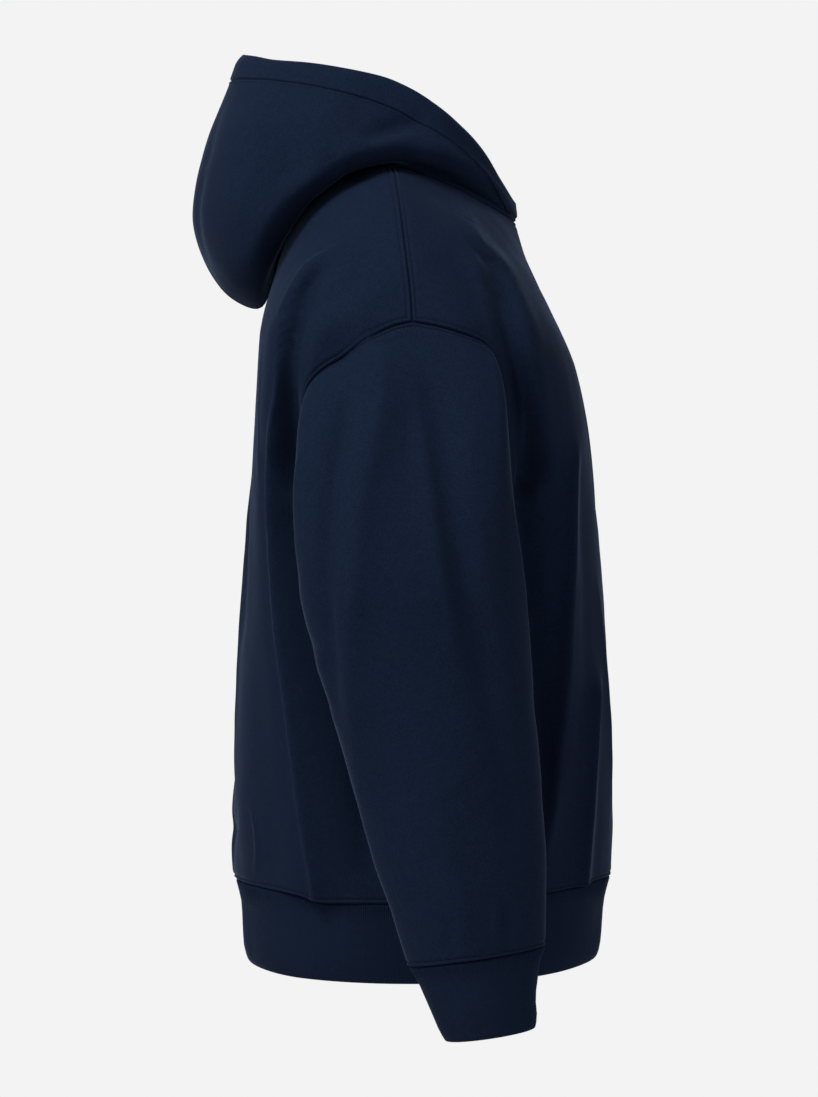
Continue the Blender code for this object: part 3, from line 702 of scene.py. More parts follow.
@dataclass
class Cloth:
    """One cut piece as a grid of outer points, rows down by columns across.

    Args:
        name: Name of the piece.
        points: Outer face before sewing.
        wall: Thickness of the cloth, one value or a grid.
        wrap: True where the last column meets the first.
        flip: True where the columns run clockwise seen from outside.
    """

    name: str
    points: Array
    wall: Array
    wrap: bool = False
    flip: bool = False
    normals: Array = field(init=False)
    gaps: dict[str, Array] = field(init=False, default_factory=dict)
    outer: Array = field(init=False)

    # distance taken as on a seam, rows searched for a line beside it, and points in its shortest stretch
    on_seam = 0.2 * MM
    search = 40
    shortest = 5

    def __post_init__(self) -> None:
        """Works out the normals and spreads the wall over the grid."""
        self.normals = grid_normals(self.points, self.wrap, self.flip)
        self.wall = np.broadcast_to(self.wall, self.points.shape[:2]).copy()
        self.outer = self.points.copy()

    def edge(self, edge: Edge) -> Line:
        """Points and normals along an edge.

        Args:
            edge: Edge of the grid.

        Returns:
            Both as arrays along that edge.
        """
        pick = {Edge.TOP: (0,), Edge.BOTTOM: (-1,), Edge.FIRST: (slice(None), 0),
                Edge.LAST: (slice(None), -1)}[edge]
        return self.points[pick], self.normals[pick]

    def shift(self, amount: Array) -> None:
        """Moves the face along its normals and works the normals out again."""
        self.points = self.points + self.normals * amount[..., None]
        self.normals = grid_normals(self.points, self.wrap, self.flip)

    def inset(self, seam: str, edge: Edge, off: float, clear: dict[str, float]) -> list[Line]:
        """Lines on the sewn face that keep a distance from a seam.

        Args:
            seam: Seam that the line follows.
            edge: Edge of the grid that lies on that seam.
            off: Distance from the seam.
            clear: Distance to keep from other seams.

        Returns:
            Stretches of points with their normals.
        """
        gap, pts, ways = self.gaps[seam], self.outer, self.normals
        bad = np.zeros(gap.shape, bool)
        for other, need in clear.items():
            bad |= self.gaps[other] < need
        if edge in (Edge.BOTTOM, Edge.LAST):
            gap, pts, ways, bad = gap[::-1, ::-1], pts[::-1, ::-1], ways[::-1, ::-1], bad[::-1, ::-1]
        if edge in (Edge.FIRST, Edge.LAST):
            gap, pts, ways, bad = gap.T, pts.swapaxes(0, 1), ways.swapaxes(0, 1), bad.T
        near = gap[0] < self.on_seam
        depth = min(self.search, len(gap))
        past = gap[:depth] >= off
        row = np.clip(np.argmax(past, axis=0), 1, depth - 1)
        col = np.arange(gap.shape[1])
        lo, hi = gap[row - 1, col], gap[row, col]
        t = np.clip((off - lo) / np.maximum(hi - lo, 1e-9), 0, 1)[:, None]
        line = pts[row - 1, col] * (1 - t) + pts[row, col] * t
        way = unit(ways[row - 1, col] * (1 - t) + ways[row, col] * t)
        good = near & past.any(axis=0) & ~bad[row, col]
        breaks = np.flatnonzero(np.diff(np.concatenate([[0], good.astype(int), [0]])))
        return [(line[a:b], way[a:b]) for a, b in zip(breaks[::2], breaks[1::2])
                if b - a >= self.shortest]


@dataclass
class Panel:
    """Front or back of the body, cut on the fold."""

    body: BodyForm
    face: Face

    # nominal runs beside and below the armhole and across half the panel, and the spacing of points
    upper = 265 * MM
    lower = 329 * MM
    across = 430 * MM
    row_step = 4.4 * MM
    column_step = 2.4 * MM
    # share of the rows that end at the armhole, and of the columns that end at the neck
    armhole_part = 0.6
    neck_part = 6 / 17
    # shares of the way down at which columns are even, and from which rows turn to follow the hem
    even_from = 0.42
    hem_from = 0.5
    # share across, angle from the centre line in degrees
    low_columns = ((0, 0.3, 0.5, 0.85, 1), (0, 20, 38, 72, 90))

    def rows(self) -> Array:
        """Places down the panel, close together by the top and the hem."""
        whole = self.upper + self.lower
        run = graded(whole, self.row_step, True, True) * whole
        part = self.armhole_part
        low = part + (1 - part) * (run - self.upper) / self.lower
        return np.where(run < self.upper, part * run / self.upper, low)

    def top(self, across: Array) -> tuple[Array, Array]:
        """Angles and heights along the neck and the shoulder seam.

        Args:
            across: Shares of the way from the centre line to the armhole.

        Returns:
            An array of each.
        """
        turn = np.minimum(across / self.neck_part, 1) * math.pi / 2
        neck_z = self.body.neck_height(turn if self.face is Face.FRONT else math.pi - turn)
        fine = np.linspace(0, self.body.sizes.shoulder_point, FINE)
        run = run_length(self.body.point(math.pi / 2, fine))
        seam = np.clip((across - self.neck_part) / (1 - self.neck_part), 0, 1)
        seam_z = np.interp(seam * run[-1], run, fine)
        return turn, np.where(across < self.neck_part, neck_z, seam_z)

    def half(self, down: Array, across: Array) -> tuple[Array, Array]:
        """Angles from the centre front and heights of one half.

        Args:
            down: 0 at the neck and shoulder seam, 1 at the hem.
            across: 0 at the centre line, 1 at the armhole and side seam.

        Returns:
            Both as grids, rows by columns.
        """
        sizes = self.body.sizes
        part = self.armhole_part
        front = self.face is Face.FRONT
        angle, height, _way, _pull = Armhole(self.body, self.face).read(np.minimum(down / part, 1))
        turn = angle if front else math.pi - angle
        low = np.clip((down - part) / (1 - part), 0, 1)
        side_z = sizes.underarm + (sizes.hem_seam - sizes.underarm) * low
        outer_turn = np.where(down < part, turn, math.pi / 2)
        outer_z = np.where(down < part, height, side_z)
        top_turn, top_z = self.top(across)
        low_turn = np.interp(across, self.low_columns[0], np.radians(self.low_columns[1]))
        mix = np.clip(down / self.even_from, 0, 1)
        mix = (0.9 * ease(mix) + 0.1 * mix)[:, None]
        share = ((1 - mix) * top_turn + mix * low_turn) / (math.pi / 2)
        centre_z = np.where(
            down < part, top_z[0] + (sizes.underarm - top_z[0]) * np.minimum(down / part, 1), side_z
        )
        shift = (centre_z - top_z[0])[:, None] * (1 - across) + (outer_z - outer_z[0])[:, None] * across
        even = centre_z[:, None] * (1 - across) + outer_z[:, None] * across
        z = (1 - mix) * (top_z + shift) + mix * even
        turn = outer_turn[:, None] * share
        phi = turn if front else math.pi - turn
        hem = self.body.hem_height(phi[-1], sizes.hem_seam, sizes.hem_seam_rise)
        z = z + (hem - z[-1]) * np.clip((down - self.hem_from) / (1 - self.hem_from), 0, 1)[:, None] ** 2
        return phi, z

    def cloth(self, wall: float) -> Cloth:
        """Whole panel from one side seam to the other.

        Args:
            wall: Thickness of the cloth.

        Returns:
            The piece before sewing.
        """
        across = graded(self.across, self.column_step, False, True)
        phi, z = self.half(self.rows(), across)
        phi = np.concatenate([-phi[:, :0:-1], phi], axis=1)
        z = np.concatenate([z[:, :0:-1], z], axis=1)
        name = f"{self.face.value}_panel"
        return Cloth(name, self.body.point(phi, z), np.array(wall), flip=self.face is Face.BACK)


@dataclass(frozen=True)
class SleeveSizes:
    """Section table of a sleeve below its cap, in millimetres, and its folds."""

    # height, middle from side to side, half width, back edge, front edge, front higher than back by
    rings: tuple[tuple[float, ...], ...] = (
        (-400, 288, 69, 77, -115, 0),
        (-450, 287, 67, 64, -120, 2),
        (-491, 286, 65, 52, -124, 4),
        (-526, 285, 63, 41, -128, 6),
        (-575, 283, 60, 27, -131, 9),
        (-621, 281, 57, 14, -134, 12),
        (-655, 279, 54, 1, -134, 15),
        (-685, 277, 50, -9, -134, 17),
        (-702, 276, 46, -15, -133, 18),
    )
    folds: tuple[Fold, ...] = (
        Fold("outer ridge", 26, 4.0, ((12, -205), (40, -316), (43, -404), (44, -500))),
        Fold("outer valley", 26, -4.5, ((-30, -215), (-46, -316), (-62, -404), (-78, -470))),
        Fold("wrist ridge", 18, 3.5, ((-20, -560), (-40, -610), (-62, -660), (-70, -690))),
        Fold("outer ridge", 27, 3.8, ((8, -215), (36, -320), (42, -410), (46, -520)), hand=1),
        Fold("outer valley", 25, -4.2, ((-34, -210), (-50, -322), (-60, -400), (-74, -480)), hand=1),
        Fold("wrist ridge", 19, 3.2, ((-26, -570), (-44, -615), (-66, -662), (-76, -690)), hand=1),
    )


def tube_ring(row: Array, around: Array, hand: Hand) -> Array:
    """Tilted oval ring of a sleeve or cuff.

    Args:
        row: Height, middle, half width, back, front and tilt in millimetres.
        around: Angles from the outer side through the front.
        hand: Side of the wearer.

    Returns:
        Points round each ring.
    """
    z, middle, half, back, front, tilt = (np.asarray(v)[..., None] * MM for v in row)
    y = (front + back) / 2 - (back - front) / 2 * np.sin(around)
    lean = tilt * np.sin(around) / 2
    x = hand.value * (middle + half * np.cos(around))
    return np.stack(np.broadcast_arrays(x, y, z + lean), axis=-1)


@dataclass
class Sleeve:
    """Drop-shoulder sleeve with a cap that leaves the armhole as the cloth hangs."""

    body: BodyForm
    hand: Hand
    sizes: SleeveSizes

    # nominal runs half round the sleeve and down its cap, and the spacing of points
    half_round = 240 * MM
    cap_run = 240 * MM
    column_step = 3.0 * MM
    row_step = 3.9 * MM
    # how strongly the cap sets off and how it settles into the tube below
    set_off = 1.6
    settle = 1.4
    settle_part = 0.9
    least_settle = 60 * MM
    # distance out at which folds begin, and over which they come in
    fold_from = 0.275
    fold_over = 0.03
    # distance kept from the body, the drop over which that comes in, and the least sine it is divided by
    clear = 4 * MM
    clear_over = 25 * MM
    least_slant = 0.5

    def columns(self) -> Array:
        """Angles from the shoulder point forward and round, close together at the underarm seam."""
        half = graded(self.half_round, self.column_step, False, True) * math.pi
        return np.concatenate([half, 2 * math.pi - half[-2:0:-1]])

    def armhole(self, around: Array) -> tuple[Array, Array, Array]:
        """Seam points, set-off and pull for each column.

        Args:
            around: Angle of each column.

        Returns:
            An array of each.
        """
        out = []
        for face in Face:
            share = around / math.pi if face is Face.FRONT else (2 * math.pi - around) / math.pi
            angle, height, way, pull = Armhole(self.body, face).read(np.clip(share, 0, 1))
            pts = self.body.point(self.hand.value * angle, height)
            out.append((pts, unit(way * np.array([self.hand.value, 1, 1])), pull[:, None]))
        ahead = (around <= math.pi)[:, None]
        return tuple(np.where(ahead, a, b) for a, b in zip(*out))

    def cloth(self, wall: float) -> Cloth:
        """Whole sleeve from the armhole to the cuff seam.

        Args:
            wall: Thickness of the cloth.

        Returns:
            The piece before sewing.
        """
        around = self.columns()
        ring, way, pull = self.armhole(around)
        top = self.sizes.rings[0][0]
        end = self.sizes.rings[-1][0]
        z = top + (end - top) * graded((top - end) * MM, self.row_step, False, True)
        low = tube_ring(self.rows(z), around, self.hand)
        next_row = tube_ring(self.rows(np.array([top, top + (end - top) / 8])), around, self.hand)
        t = graded(self.cap_run, self.row_step, True, False)[:-1, None, None]
        settle = np.maximum(self.least_settle, pull * self.settle_part)
        leave = unit(next_row[1] - next_row[0]) * settle
        cap = (
            (1 + 2 * t) * (1 - t) ** 2 * ring
            + t * (1 - t) ** 2 * way * pull * self.set_off
            + t * t * (3 - 2 * t) * low[0]
            + t * t * (t - 1) * leave * self.settle
        )
        pts = self.off_body(self.folded(np.concatenate([cap, low])))
        flip = self.hand is Hand.LEFT
        return Cloth(f"sleeve_{self.hand.name.lower()}", pts, np.array(wall), wrap=True, flip=flip)

    def rows(self, z: Array) -> Array:
        """Table rows at heights in millimetres."""
        table = np.array(self.sizes.rings, float)[::-1]
        return spline(table[:, 0], table, z).T

    def folded(self, pts: Array) -> Array:
        """Moves the outer side out or in along its folds.

        Args:
            pts: Grid of the sleeve.

        Returns:
            The moved grid.
        """
        y = pts[..., 1]
        z = pts[..., 2]
        outside = np.clip((pts[..., 0] * self.hand.value - self.fold_from) / self.fold_over, 0, 1)
        add = np.zeros_like(y)
        for fold in self.sizes.folds:
            if fold.hand == self.hand.value:
                line = fold.line()
                add += fold.rise(y - spline(line[:, 1], line[:, 0], z), z)
        out = pts.copy()
        out[..., 0] += self.hand.value * add * outside
        return out

    def off_body(self, pts: Array) -> Array:
        """Keeps the inner side off the side of the body.

        Args:
            pts: Grid of the sleeve.

        Returns:
            The moved grid.
        """
        sizes = self.body.sizes
        level = pts.copy()
        level[..., 2] = np.clip(pts[..., 2], sizes.hem_edge, sizes.underarm)
        below = np.clip((sizes.underarm - pts[..., 2]) / self.clear_over, 0, 1)
        push = self.body.lift_off(level, self.clear) * below
        slant = np.maximum(np.abs(np.sin(self.body.angle(level))), self.least_slant)
        out = pts.copy()
        out[..., 0] += self.hand.value * push / slant
        return out


@dataclass(frozen=True)
class HoodSizes:
    """Sections of the hood as it lies down, in millimetres, by angle round the neckline.

    Each section holds out, back and up of the places fold, tuck, low, bottom, heel, belly, middle, hem
    and edge. The neck seam comes from the neckline.
    """

    hem: float = 25 * MM
    curl: float = 3.2 * MM
    curl_over: float = 11 * MM
    lift: float = 3.2 * MM
    wall: float = 2.6 * MM
    hem_wall: float = 4.4 * MM
    sections: tuple[tuple[int, tuple[tuple[float, float, float], ...]], ...] = (
        (0, ((0, -114, -43), (0, -114, -42), (0, -114, -41), (0, -115, -40), (0, -115, -39),
             (0, -115, -38), (0, -115, -37), (0, -115, -36), (0, -115, -28))),
        (25, ((42, -103, -38), (43, -103, -36), (44, -104, -34), (45, -104, -32), (46, -104, -29),
              (46, -104, -27), (46, -104, -25), (46, -103, -23), (44, -100, -8))),
        (45, ((70, -81, -26), (73, -82, -24), (76, -83, -21), (79, -83, -17), (82, -83, -12),
              (83, -83, -7), (82, -82, -2), (80, -81, 2), (73, -81, 21))),
        (65, ((93, -46, -11), (98, -46, -9), (103, -47, -7), (109, -47, -4), (113, -47, 2),
              (115, -47, 9), (111, -47, 18), (106, -47, 27), (98, -48, 50))),
        (90, ((101, 3, 4), (106, 3, 3), (112, 4, 2), (119, 4, 3), (125, 4, 9),
              (127, 3, 18), (117, 2, 31), (111, 1, 48), (105, -4, 75))),
        (120, ((85, 54, 4), (98, 60, -8), (112, 65, -21), (126, 69, -27), (137, 72, -17),
               (138, 72, 3), (128, 68, 38), (107, 64, 68), (97, 53, 91))),
        (150, ((50, 84, 9), (59, 93, -32), (75, 104, -75), (94, 116, -99), (113, 132, -93),
               (121, 147, -44), (106, 142, 24), (75, 124, 78), (64, 112, 101))),
        (180, ((0, 86, 13), (0, 100, -42), (0, 115, -108), (0, 125, -124), (0, 156, -109),
               (0, 185, -50), (0, 176, 18), (0, 151, 85), (0, 142, 110))),
    )


@dataclass
class Hood:
    """Half of the hood, from the neck seam over its fold and belly to the turned front edge."""

    body: BodyForm
    hand: Hand
    sizes: HoodSizes

    # nominal runs round half the neck and over the hood, and the spacing of points, also in the hem
    half_round = 280 * MM
    over = 400 * MM
    column_step = 3.2 * MM
    row_step = 3.9 * MM
    hem_step = 2.0 * MM
    # most of a section that the hem takes, least slant of the rim, and the section with a full curl
    hem_part = 0.86
    least_slant = 0.7
    full_curl = 70 * MM
    # lowest height at which the body is read, and the run over which the lift comes in
    lowest = -0.25
    lift_over = 14 * MM

    def marks(self, phi: Array) -> Array:
        """Places of the section at each angle, the neck seam first.

        Args:
            phi: Angle of each column.

        Returns:
            Places by columns, with a last axis of 3.
        """
        angles = [angle for angle, _places in self.sizes.sections]
        half = np.array([places for _angle, places in self.sizes.sections], float) * MM
        mirror = half * np.array([-1, 1, 1])
        table = np.concatenate([mirror[2:0:-1], half, mirror[-2:-4:-1]])
        stations = np.radians([-angles[2], -angles[1], *angles, 360 - angles[-2], 360 - angles[-3]])
        marks = spline(stations, table.reshape(len(table), -1), phi).reshape(len(phi), -1, 3)
        marks[..., 0] *= self.hand.value
        neck = self.body.point(self.hand.value * phi, self.body.neck_height(phi))
        return np.concatenate([neck[:, None], marks], axis=1)

    def cloth(self) -> tuple[Cloth, Array]:
        """The half and, for each point, how far it lies past the hem's stitching.

        Returns:
            The piece before sewing, and a distance in metres for each point.
        """
        phi = graded(self.half_round, self.column_step, True, True) * math.pi
        marks = self.marks(phi)
        rows = graded(self.over, self.row_step, True, True)
        hem_rows = graded(self.sizes.hem, self.hem_step, True, False)[1:]
        rim = unit(np.gradient(marks[:, -1], axis=0))
        lean = np.linalg.norm(np.cross(rim, unit(marks[:, -1] - marks[:, -2])), axis=1)
        lean = np.clip(lean, self.least_slant, 1)
        lines = []
        past = []
        left = []
        for line, slant in zip(marks, lean):
            steps = np.sqrt(np.linalg.norm(np.diff(line, axis=0), axis=1))
            knots = np.concatenate([[0], np.cumsum(steps)])
            fine = spline(knots, line, np.linspace(0, knots[-1], FINE))
            run = run_length(fine)
            hem = min(self.sizes.hem / slant, run[-1] * self.hem_part)
            want = np.concatenate([rows * (run[-1] - hem), run[-1] - hem * (1 - hem_rows)])
            lines.append(np.stack([np.interp(want, run, fine[:, k]) for k in range(3)], axis=-1))
            past.append((want - (run[-1] - hem)) * slant)
            left.append(run[-1] - want)
        flip = self.hand is Hand.LEFT
        pts = self.lie(np.stack(lines, axis=1), marks[:, 0])
        pts = self.curled(pts, np.stack(left, axis=1), flip)
        past = np.stack(past, axis=1)
        wall = self.sizes.wall + (self.sizes.hem_wall - self.sizes.wall) * ease(past / (3 * MM) + 0.5)
        return Cloth(f"hood_{self.hand.name.lower()}", pts, wall, flip=flip), past

    def curled(self, pts: Array, left: Array, flip: bool) -> Array:
        """Rolls the rim inwards: curl (1 - left / curl_over)^2, less where the section is short.

        Args:
            pts: Grid of points.
            left: What is left of each section at each point.
            flip: True where the columns run clockwise seen from outside.

        Returns:
            The moved grid.
        """
        way = grid_normals(pts, False, flip)
        way[:, [0, -1], 0] = 0
        share = np.clip(1 - left / self.sizes.curl_over, 0, 1) ** 2
        share = share * np.clip(left[0] / self.full_curl, 0, 1)
        return pts - unit(way) * (share * self.sizes.curl)[..., None]

    def lie(self, pts: Array, neck: Array) -> Array:
        """Lifts the underside clear of the shoulders and back.

        Args:
            pts: Grid of points.
            neck: Points of the neck seam.
        """
        out = pts.copy()
        level = pts.copy()
        level[..., 2] = np.clip(pts[..., 2], self.lowest, 0)
        away = np.linalg.norm(out - neck[None], axis=-1)
        need = self.sizes.lift * np.clip(away / self.lift_over, 0, 1)
        grow = np.where(out[..., 2] < 0, self.body.lift_off(level, need), 0)
        phi = self.body.angle(level)
        out[..., 0] += grow * np.sin(phi)
        out[..., 1] -= grow * np.cos(phi)
        return out


# ----- Sewing -----


@dataclass
class Seam:
    """A sewn line.

    Args:
        name: What it is called.
        points: Places along it.
        normals: Mean way out of the cloth there.
        sewn: True where it is topstitched.
    """

    name: str
    points: Array
    normals: Array
    sewn: bool

    def meet(self, cloth: Cloth) -> tuple[Array, Array]:
        """Distance of every point of a piece from the seam, and the seam's way out there."""
        gap, place = nearest(cloth.points, self.points)
        return gap, unit(along_line(self.normals, place))


@dataclass(frozen=True)
class SeamShape:
    """Relief across a seam, in millimetres against the distance d from it.

    depth exp(-(d/width)^2) is the groove, roll the padded strip beside it, dip the line where the
    topstitching draws the cloth in, and swell the cloth that stands up beyond. plain is the one soft
    strip beside a seam without topstitching.
    """

    groove: float = 1.8
    groove_width: float = 0.8
    roll: float = 0.75
    roll_at: float = 2.2
    roll_width: float = 1.15
    dip: float = 0.75
    dip_at: float = 4.2
    dip_width: float = 0.7
    swell: float = 0.35
    swell_at: float = 7.0
    swell_width: float = 3.0
    plain: float = 0.3
    plain_at: float = 3.5
    plain_width: float = 2.0

    def height(self, gap: Array, sewn: bool) -> Array:
        """Height of the face in metres.

        Args:
            gap: Distance from the seam in metres.
            sewn: True for topstitched seams, False for plain ones.
        """
        d = gap / MM
        out = -self.groove * bump_at(d, 0, self.groove_width)
        if sewn:
            out = out + self.roll * bump_at(d, self.roll_at, self.roll_width)
            out = out - self.dip * bump_at(d, self.dip_at, self.dip_width)
            out = out + self.swell * bump_at(d, self.swell_at, self.swell_width)
        else:
            out = out + self.plain * bump_at(d, self.plain_at, self.plain_width)
        return out * MM


@dataclass(frozen=True)
class HemShape:
    """Relief across the stitching of the hood's hem, in millimetres against the distance d past it.

    sink exp(-(d/sink_width)^2) draws the cloth in, step ease(d/step_over) is the second layer, and pad
    the soft strip before the stitching.
    """

    sink: float = 1.2
    sink_width: float = 0.8
    step: float = 0.9
    step_over: float = 1.5
    pad: float = 0.55
    pad_at: float = -1.9
    pad_width: float = 1.1

    def height(self, past: Array) -> Array:
        """Height of the face in metres at a distance past the stitching in metres."""
        d = past / MM
        out = -self.sink * bump_at(d, 0, self.sink_width) + self.step * ease(d / self.step_over)
        return (out + self.pad * bump_at(d, self.pad_at, self.pad_width)) * MM


class Aspect(Enum):
    """Side that a crease is drawn from: the axis looked along and the sign of the near end."""

    RIGHT = (0, -1)
    LEFT = (0, 1)
    FRONT = (1, -1)
    BACK = (1, 1)


@dataclass(frozen=True)
class Crease:
    """A listed crease, in millimetres.

    Args:
        pieces: Pieces that it lies on.
        aspect: Side that it is drawn from.
        width: Half width at 1/e.
        height: Height, negative for a trough.
        sharp: How tight its top is, 0 for a Gaussian.
        path: Places across and up as seen from that side, front to back or side to side first.
    """

    pieces: tuple[str, ...]
    aspect: Aspect
    width: float
    height: float
    sharp: float
    path: Places

    # how far cloth has to face that side, places along the line, and points that each is read from
    facing = 0.15
    places = 61
    neighbours = 6

    def across(self, shift: float, drop: float, scale: float) -> Crease:
        """The like crease on the other side.

        Args:
            shift: How far it is moved across, in millimetres.
            drop: How far it is moved up.
            scale: Its height against this one's.
        """
        other = {Aspect.RIGHT: Aspect.LEFT}.get(self.aspect, self.aspect)
        sign = 1 if other is Aspect.LEFT else -1
        path = tuple((sign * (a + shift), z + drop) for a, z in self.path)
        pieces = tuple(name.replace("right", "left") for name in self.pieces)
        return replace(self, pieces=pieces, aspect=other, height=self.height * scale, path=path)

    def line(self, cloths: list[Cloth]) -> Array:
        """Path dropped onto the pieces from the side that it is drawn from.

        Args:
            cloths: Pieces that the crease lies on.

        Returns:
            Points along the crease.
        """
        axis, sign = self.aspect.value
        drawn = [k for k in range(3) if k != axis]
        pts = np.concatenate([cloth.points.reshape(-1, 3) for cloth in cloths])
        ways = np.concatenate([cloth.normals.reshape(-1, 3) for cloth in cloths])
        pts = pts[ways[:, axis] * sign > self.facing]
        path = np.array(self.path, float) * MM
        fine = spline(np.linspace(0, 1, len(path)), path, np.linspace(0, 1, self.places))
        out = np.empty((len(fine), 3))
        out[:, drawn] = fine
        for k, place in enumerate(fine):
            gap = np.sum((pts[:, drawn] - place) ** 2, axis=1)
            near = np.argsort(gap)[: self.neighbours]
            share = 1 / (gap[near] + 1e-9)
            out[k, axis] = np.sum(pts[near, axis] * share) / share.sum()
        return out

    def shape(self, pts: Array, line: Array) -> Array:
        """Height over a piece's points, easing to nothing at both ends.

        Args:
            pts: Grid of the piece.
            line: The crease's line.

        Returns:
            Metres at each point.
        """
        gap, place = nearest(pts, line)
        ends = np.sin(np.clip(place / (len(line) - 1), 0, 1) * math.pi) ** 0.7
        return self.height * MM * crest(gap, self.width * MM, self.sharp) * ends


def creases(pieces: str, aspect: Aspect, rows: tuple[tuple, ...]) -> tuple[Crease, ...]:
    """Creases that lie on the same pieces and are drawn from the same side.

    Args:
        pieces: Names of the pieces, with spaces between.
        aspect: Side that they are drawn from.
        rows: Width, height, sharpness and path of each.
    """
    return tuple(Crease(tuple(pieces.split()), aspect, *row) for row in rows)


# width, height, sharpness and path of each crease of the right side
SIDE_CREASES = (
    *creases("sleeve_right", Aspect.RIGHT, (
        (16, 7.0, 0.3, (
            (2, -172), (5, -190), (11, -239), (25, -307), (30, -375), (34, -427), (32, -500), (26, -570),
        )),
        (11, -7.5, 0, ((36, -206), (40, -239), (52, -307), (57, -375), (52, -440), (44, -500))),
        (14, -5.8, 0, (
            (-28, -180), (-38, -221), (-44, -250), (-50, -290), (-56, -330), (-64, -380), (-76, -430),
            (-88, -490), (-100, -560), (-106, -625),
        )),
        (12, 5.0, 0.3, (
            (-10, -178), (-22, -225), (-28, -265), (-34, -310), (-41, -360), (-52, -415), (-62, -470),
        )),
        (14, 1.8, 0.4, ((-20, -470), (-34, -540), (-52, -610), (-66, -670))),
        (13, -1.8, 0, ((18, -480), (2, -560), (-18, -630))),
        (5, -2.0, 0, ((-48, -664), (-50, -680), (-50, -694))),
        (4, -2.2, 0, ((-97, -655), (-99, -672), (-97, -692))),
        (5, 2.0, 0.4, ((-88, -652), (-90, -672), (-88, -692))),
    )),
    *creases("back_panel sleeve_right", Aspect.RIGHT, (
        (12, 3.6, 0.3, ((33, -130), (24, -160), (17, -185), (14, -212))),
        (13, -2.2, 0, ((54, -142), (45, -172), (39, -212))),
    )),
    *creases("back_panel", Aspect.RIGHT, (
        (16, -2.4, 0, ((14, -60), (22, -95), (34, -132))),
    )),
    *creases("front_panel", Aspect.RIGHT, (
        (14, -2.0, 0, ((-34, -60), (-42, -96), (-50, -136))),
    )),
    *creases("hood_right", Aspect.RIGHT, (
        (9, -5.0, 0, ((28, 18), (14, 26), (-1, 32), (-18, 36), (-34, 37))),
        (10, 4.6, 0.4, ((52, 0), (40, 8), (17, 14), (-1, 19), (-22, 22), (-39, 16), (-55, 9), (-74, -5))),
        (17, 7.0, 0.2, ((34, 8), (58, -4), (79, -19), (99, -35), (115, -56), (123, -78), (126, -100))),
        (6, -1.2, 0, ((33, 62), (31, 46), (28, 30))),
        (16, -2.2, 0, ((110, 64), (98, 30), (94, 0), (90, -20))),
        (14, 1.8, 0.4, ((134, 60), (130, 20), (134, -30), (142, -70))),
    )),
    *creases("hood_right", Aspect.BACK, (
        (16, -2.8, 0, ((-30, 66), (-44, 10), (-40, -50), (-28, -92))),
    )),
    *creases("sleeve_right", Aspect.FRONT, (
        (11, 3.0, 0.4, ((-302, -290), (-292, -380), (-286, -480))),
        (10, -3.4, 0, ((-258, -330), (-254, -410), (-262, -490))),
    )),
    *creases("sleeve_right", Aspect.BACK, (
        (10, -0.9, 0, ((-330, -408), (-300, -430), (-262, -424))),
        (9, 0.8, 0.4, ((-326, -430), (-298, -452), (-264, -448))),
        (10, -0.8, 0, ((-324, -462), (-296, -480), (-266, -470))),
        (11, 2.6, 0.4, ((-306, -230), (-296, -300), (-298, -370))),
    )),
)
# how far across and up they are moved on the left side, in turn, and their heights against the right
OTHER_SIDE = ((2, -7, 0.9), (-3, 5, 1.0), (3, -10, 0.85), (-2, 8, 0.95))
PANEL_CREASES = (
    *creases("back_panel", Aspect.BACK, (
        (17, -4.4, 0, ((-104, -180), (-92, -260), (-84, -340), (-86, -440))),
        (14, 3.4, 0.35, ((-66, -290), (-56, -420), (-62, -560))),
        (16, -3.1, 0, ((16, -240), (27, -360), (18, -490))),
        (15, 3.7, 0.35, ((76, -230), (64, -340), (60, -450), (68, -580))),
        (15, -4.1, 0, ((108, -190), (98, -300), (104, -420))),
        (7, 2.7, 0.4, ((-30, -560), (-35, -610), (-28, -655))),
        (8, -3.1, 0, ((46, -540), (53, -600), (48, -655))),
        (10, -2.4, 0, ((-94, -588), (-58, -606), (-12, -600))),
        (9, 2.0, 0.4, ((40, -152), (4, -164), (-38, -150))),
    )),
    *creases("front_panel", Aspect.FRONT, (
        (15, -4.1, 0, ((-72, -84), (-52, -160), (-43, -240), (-50, -330))),
        (14, 2.7, 0.4, ((-18, -96), (-13, -200), (-20, -310))),
        (15, -3.7, 0, ((68, -90), (50, -170), (40, -260), (47, -350))),
        (13, 3.4, 0.35, ((-94, -370), (-78, -480), (-73, -590))),
        (16, -3.1, 0, ((8, -350), (15, -470), (6, -570))),
        (13, 3.6, 0.35, ((86, -390), (72, -500), (77, -610))),
        (7, -2.9, 0, ((-40, -596), (-35, -630), (-40, -658))),
        (7, 2.5, 0.4, ((36, -590), (41, -625), (36, -657))),
    )),
)


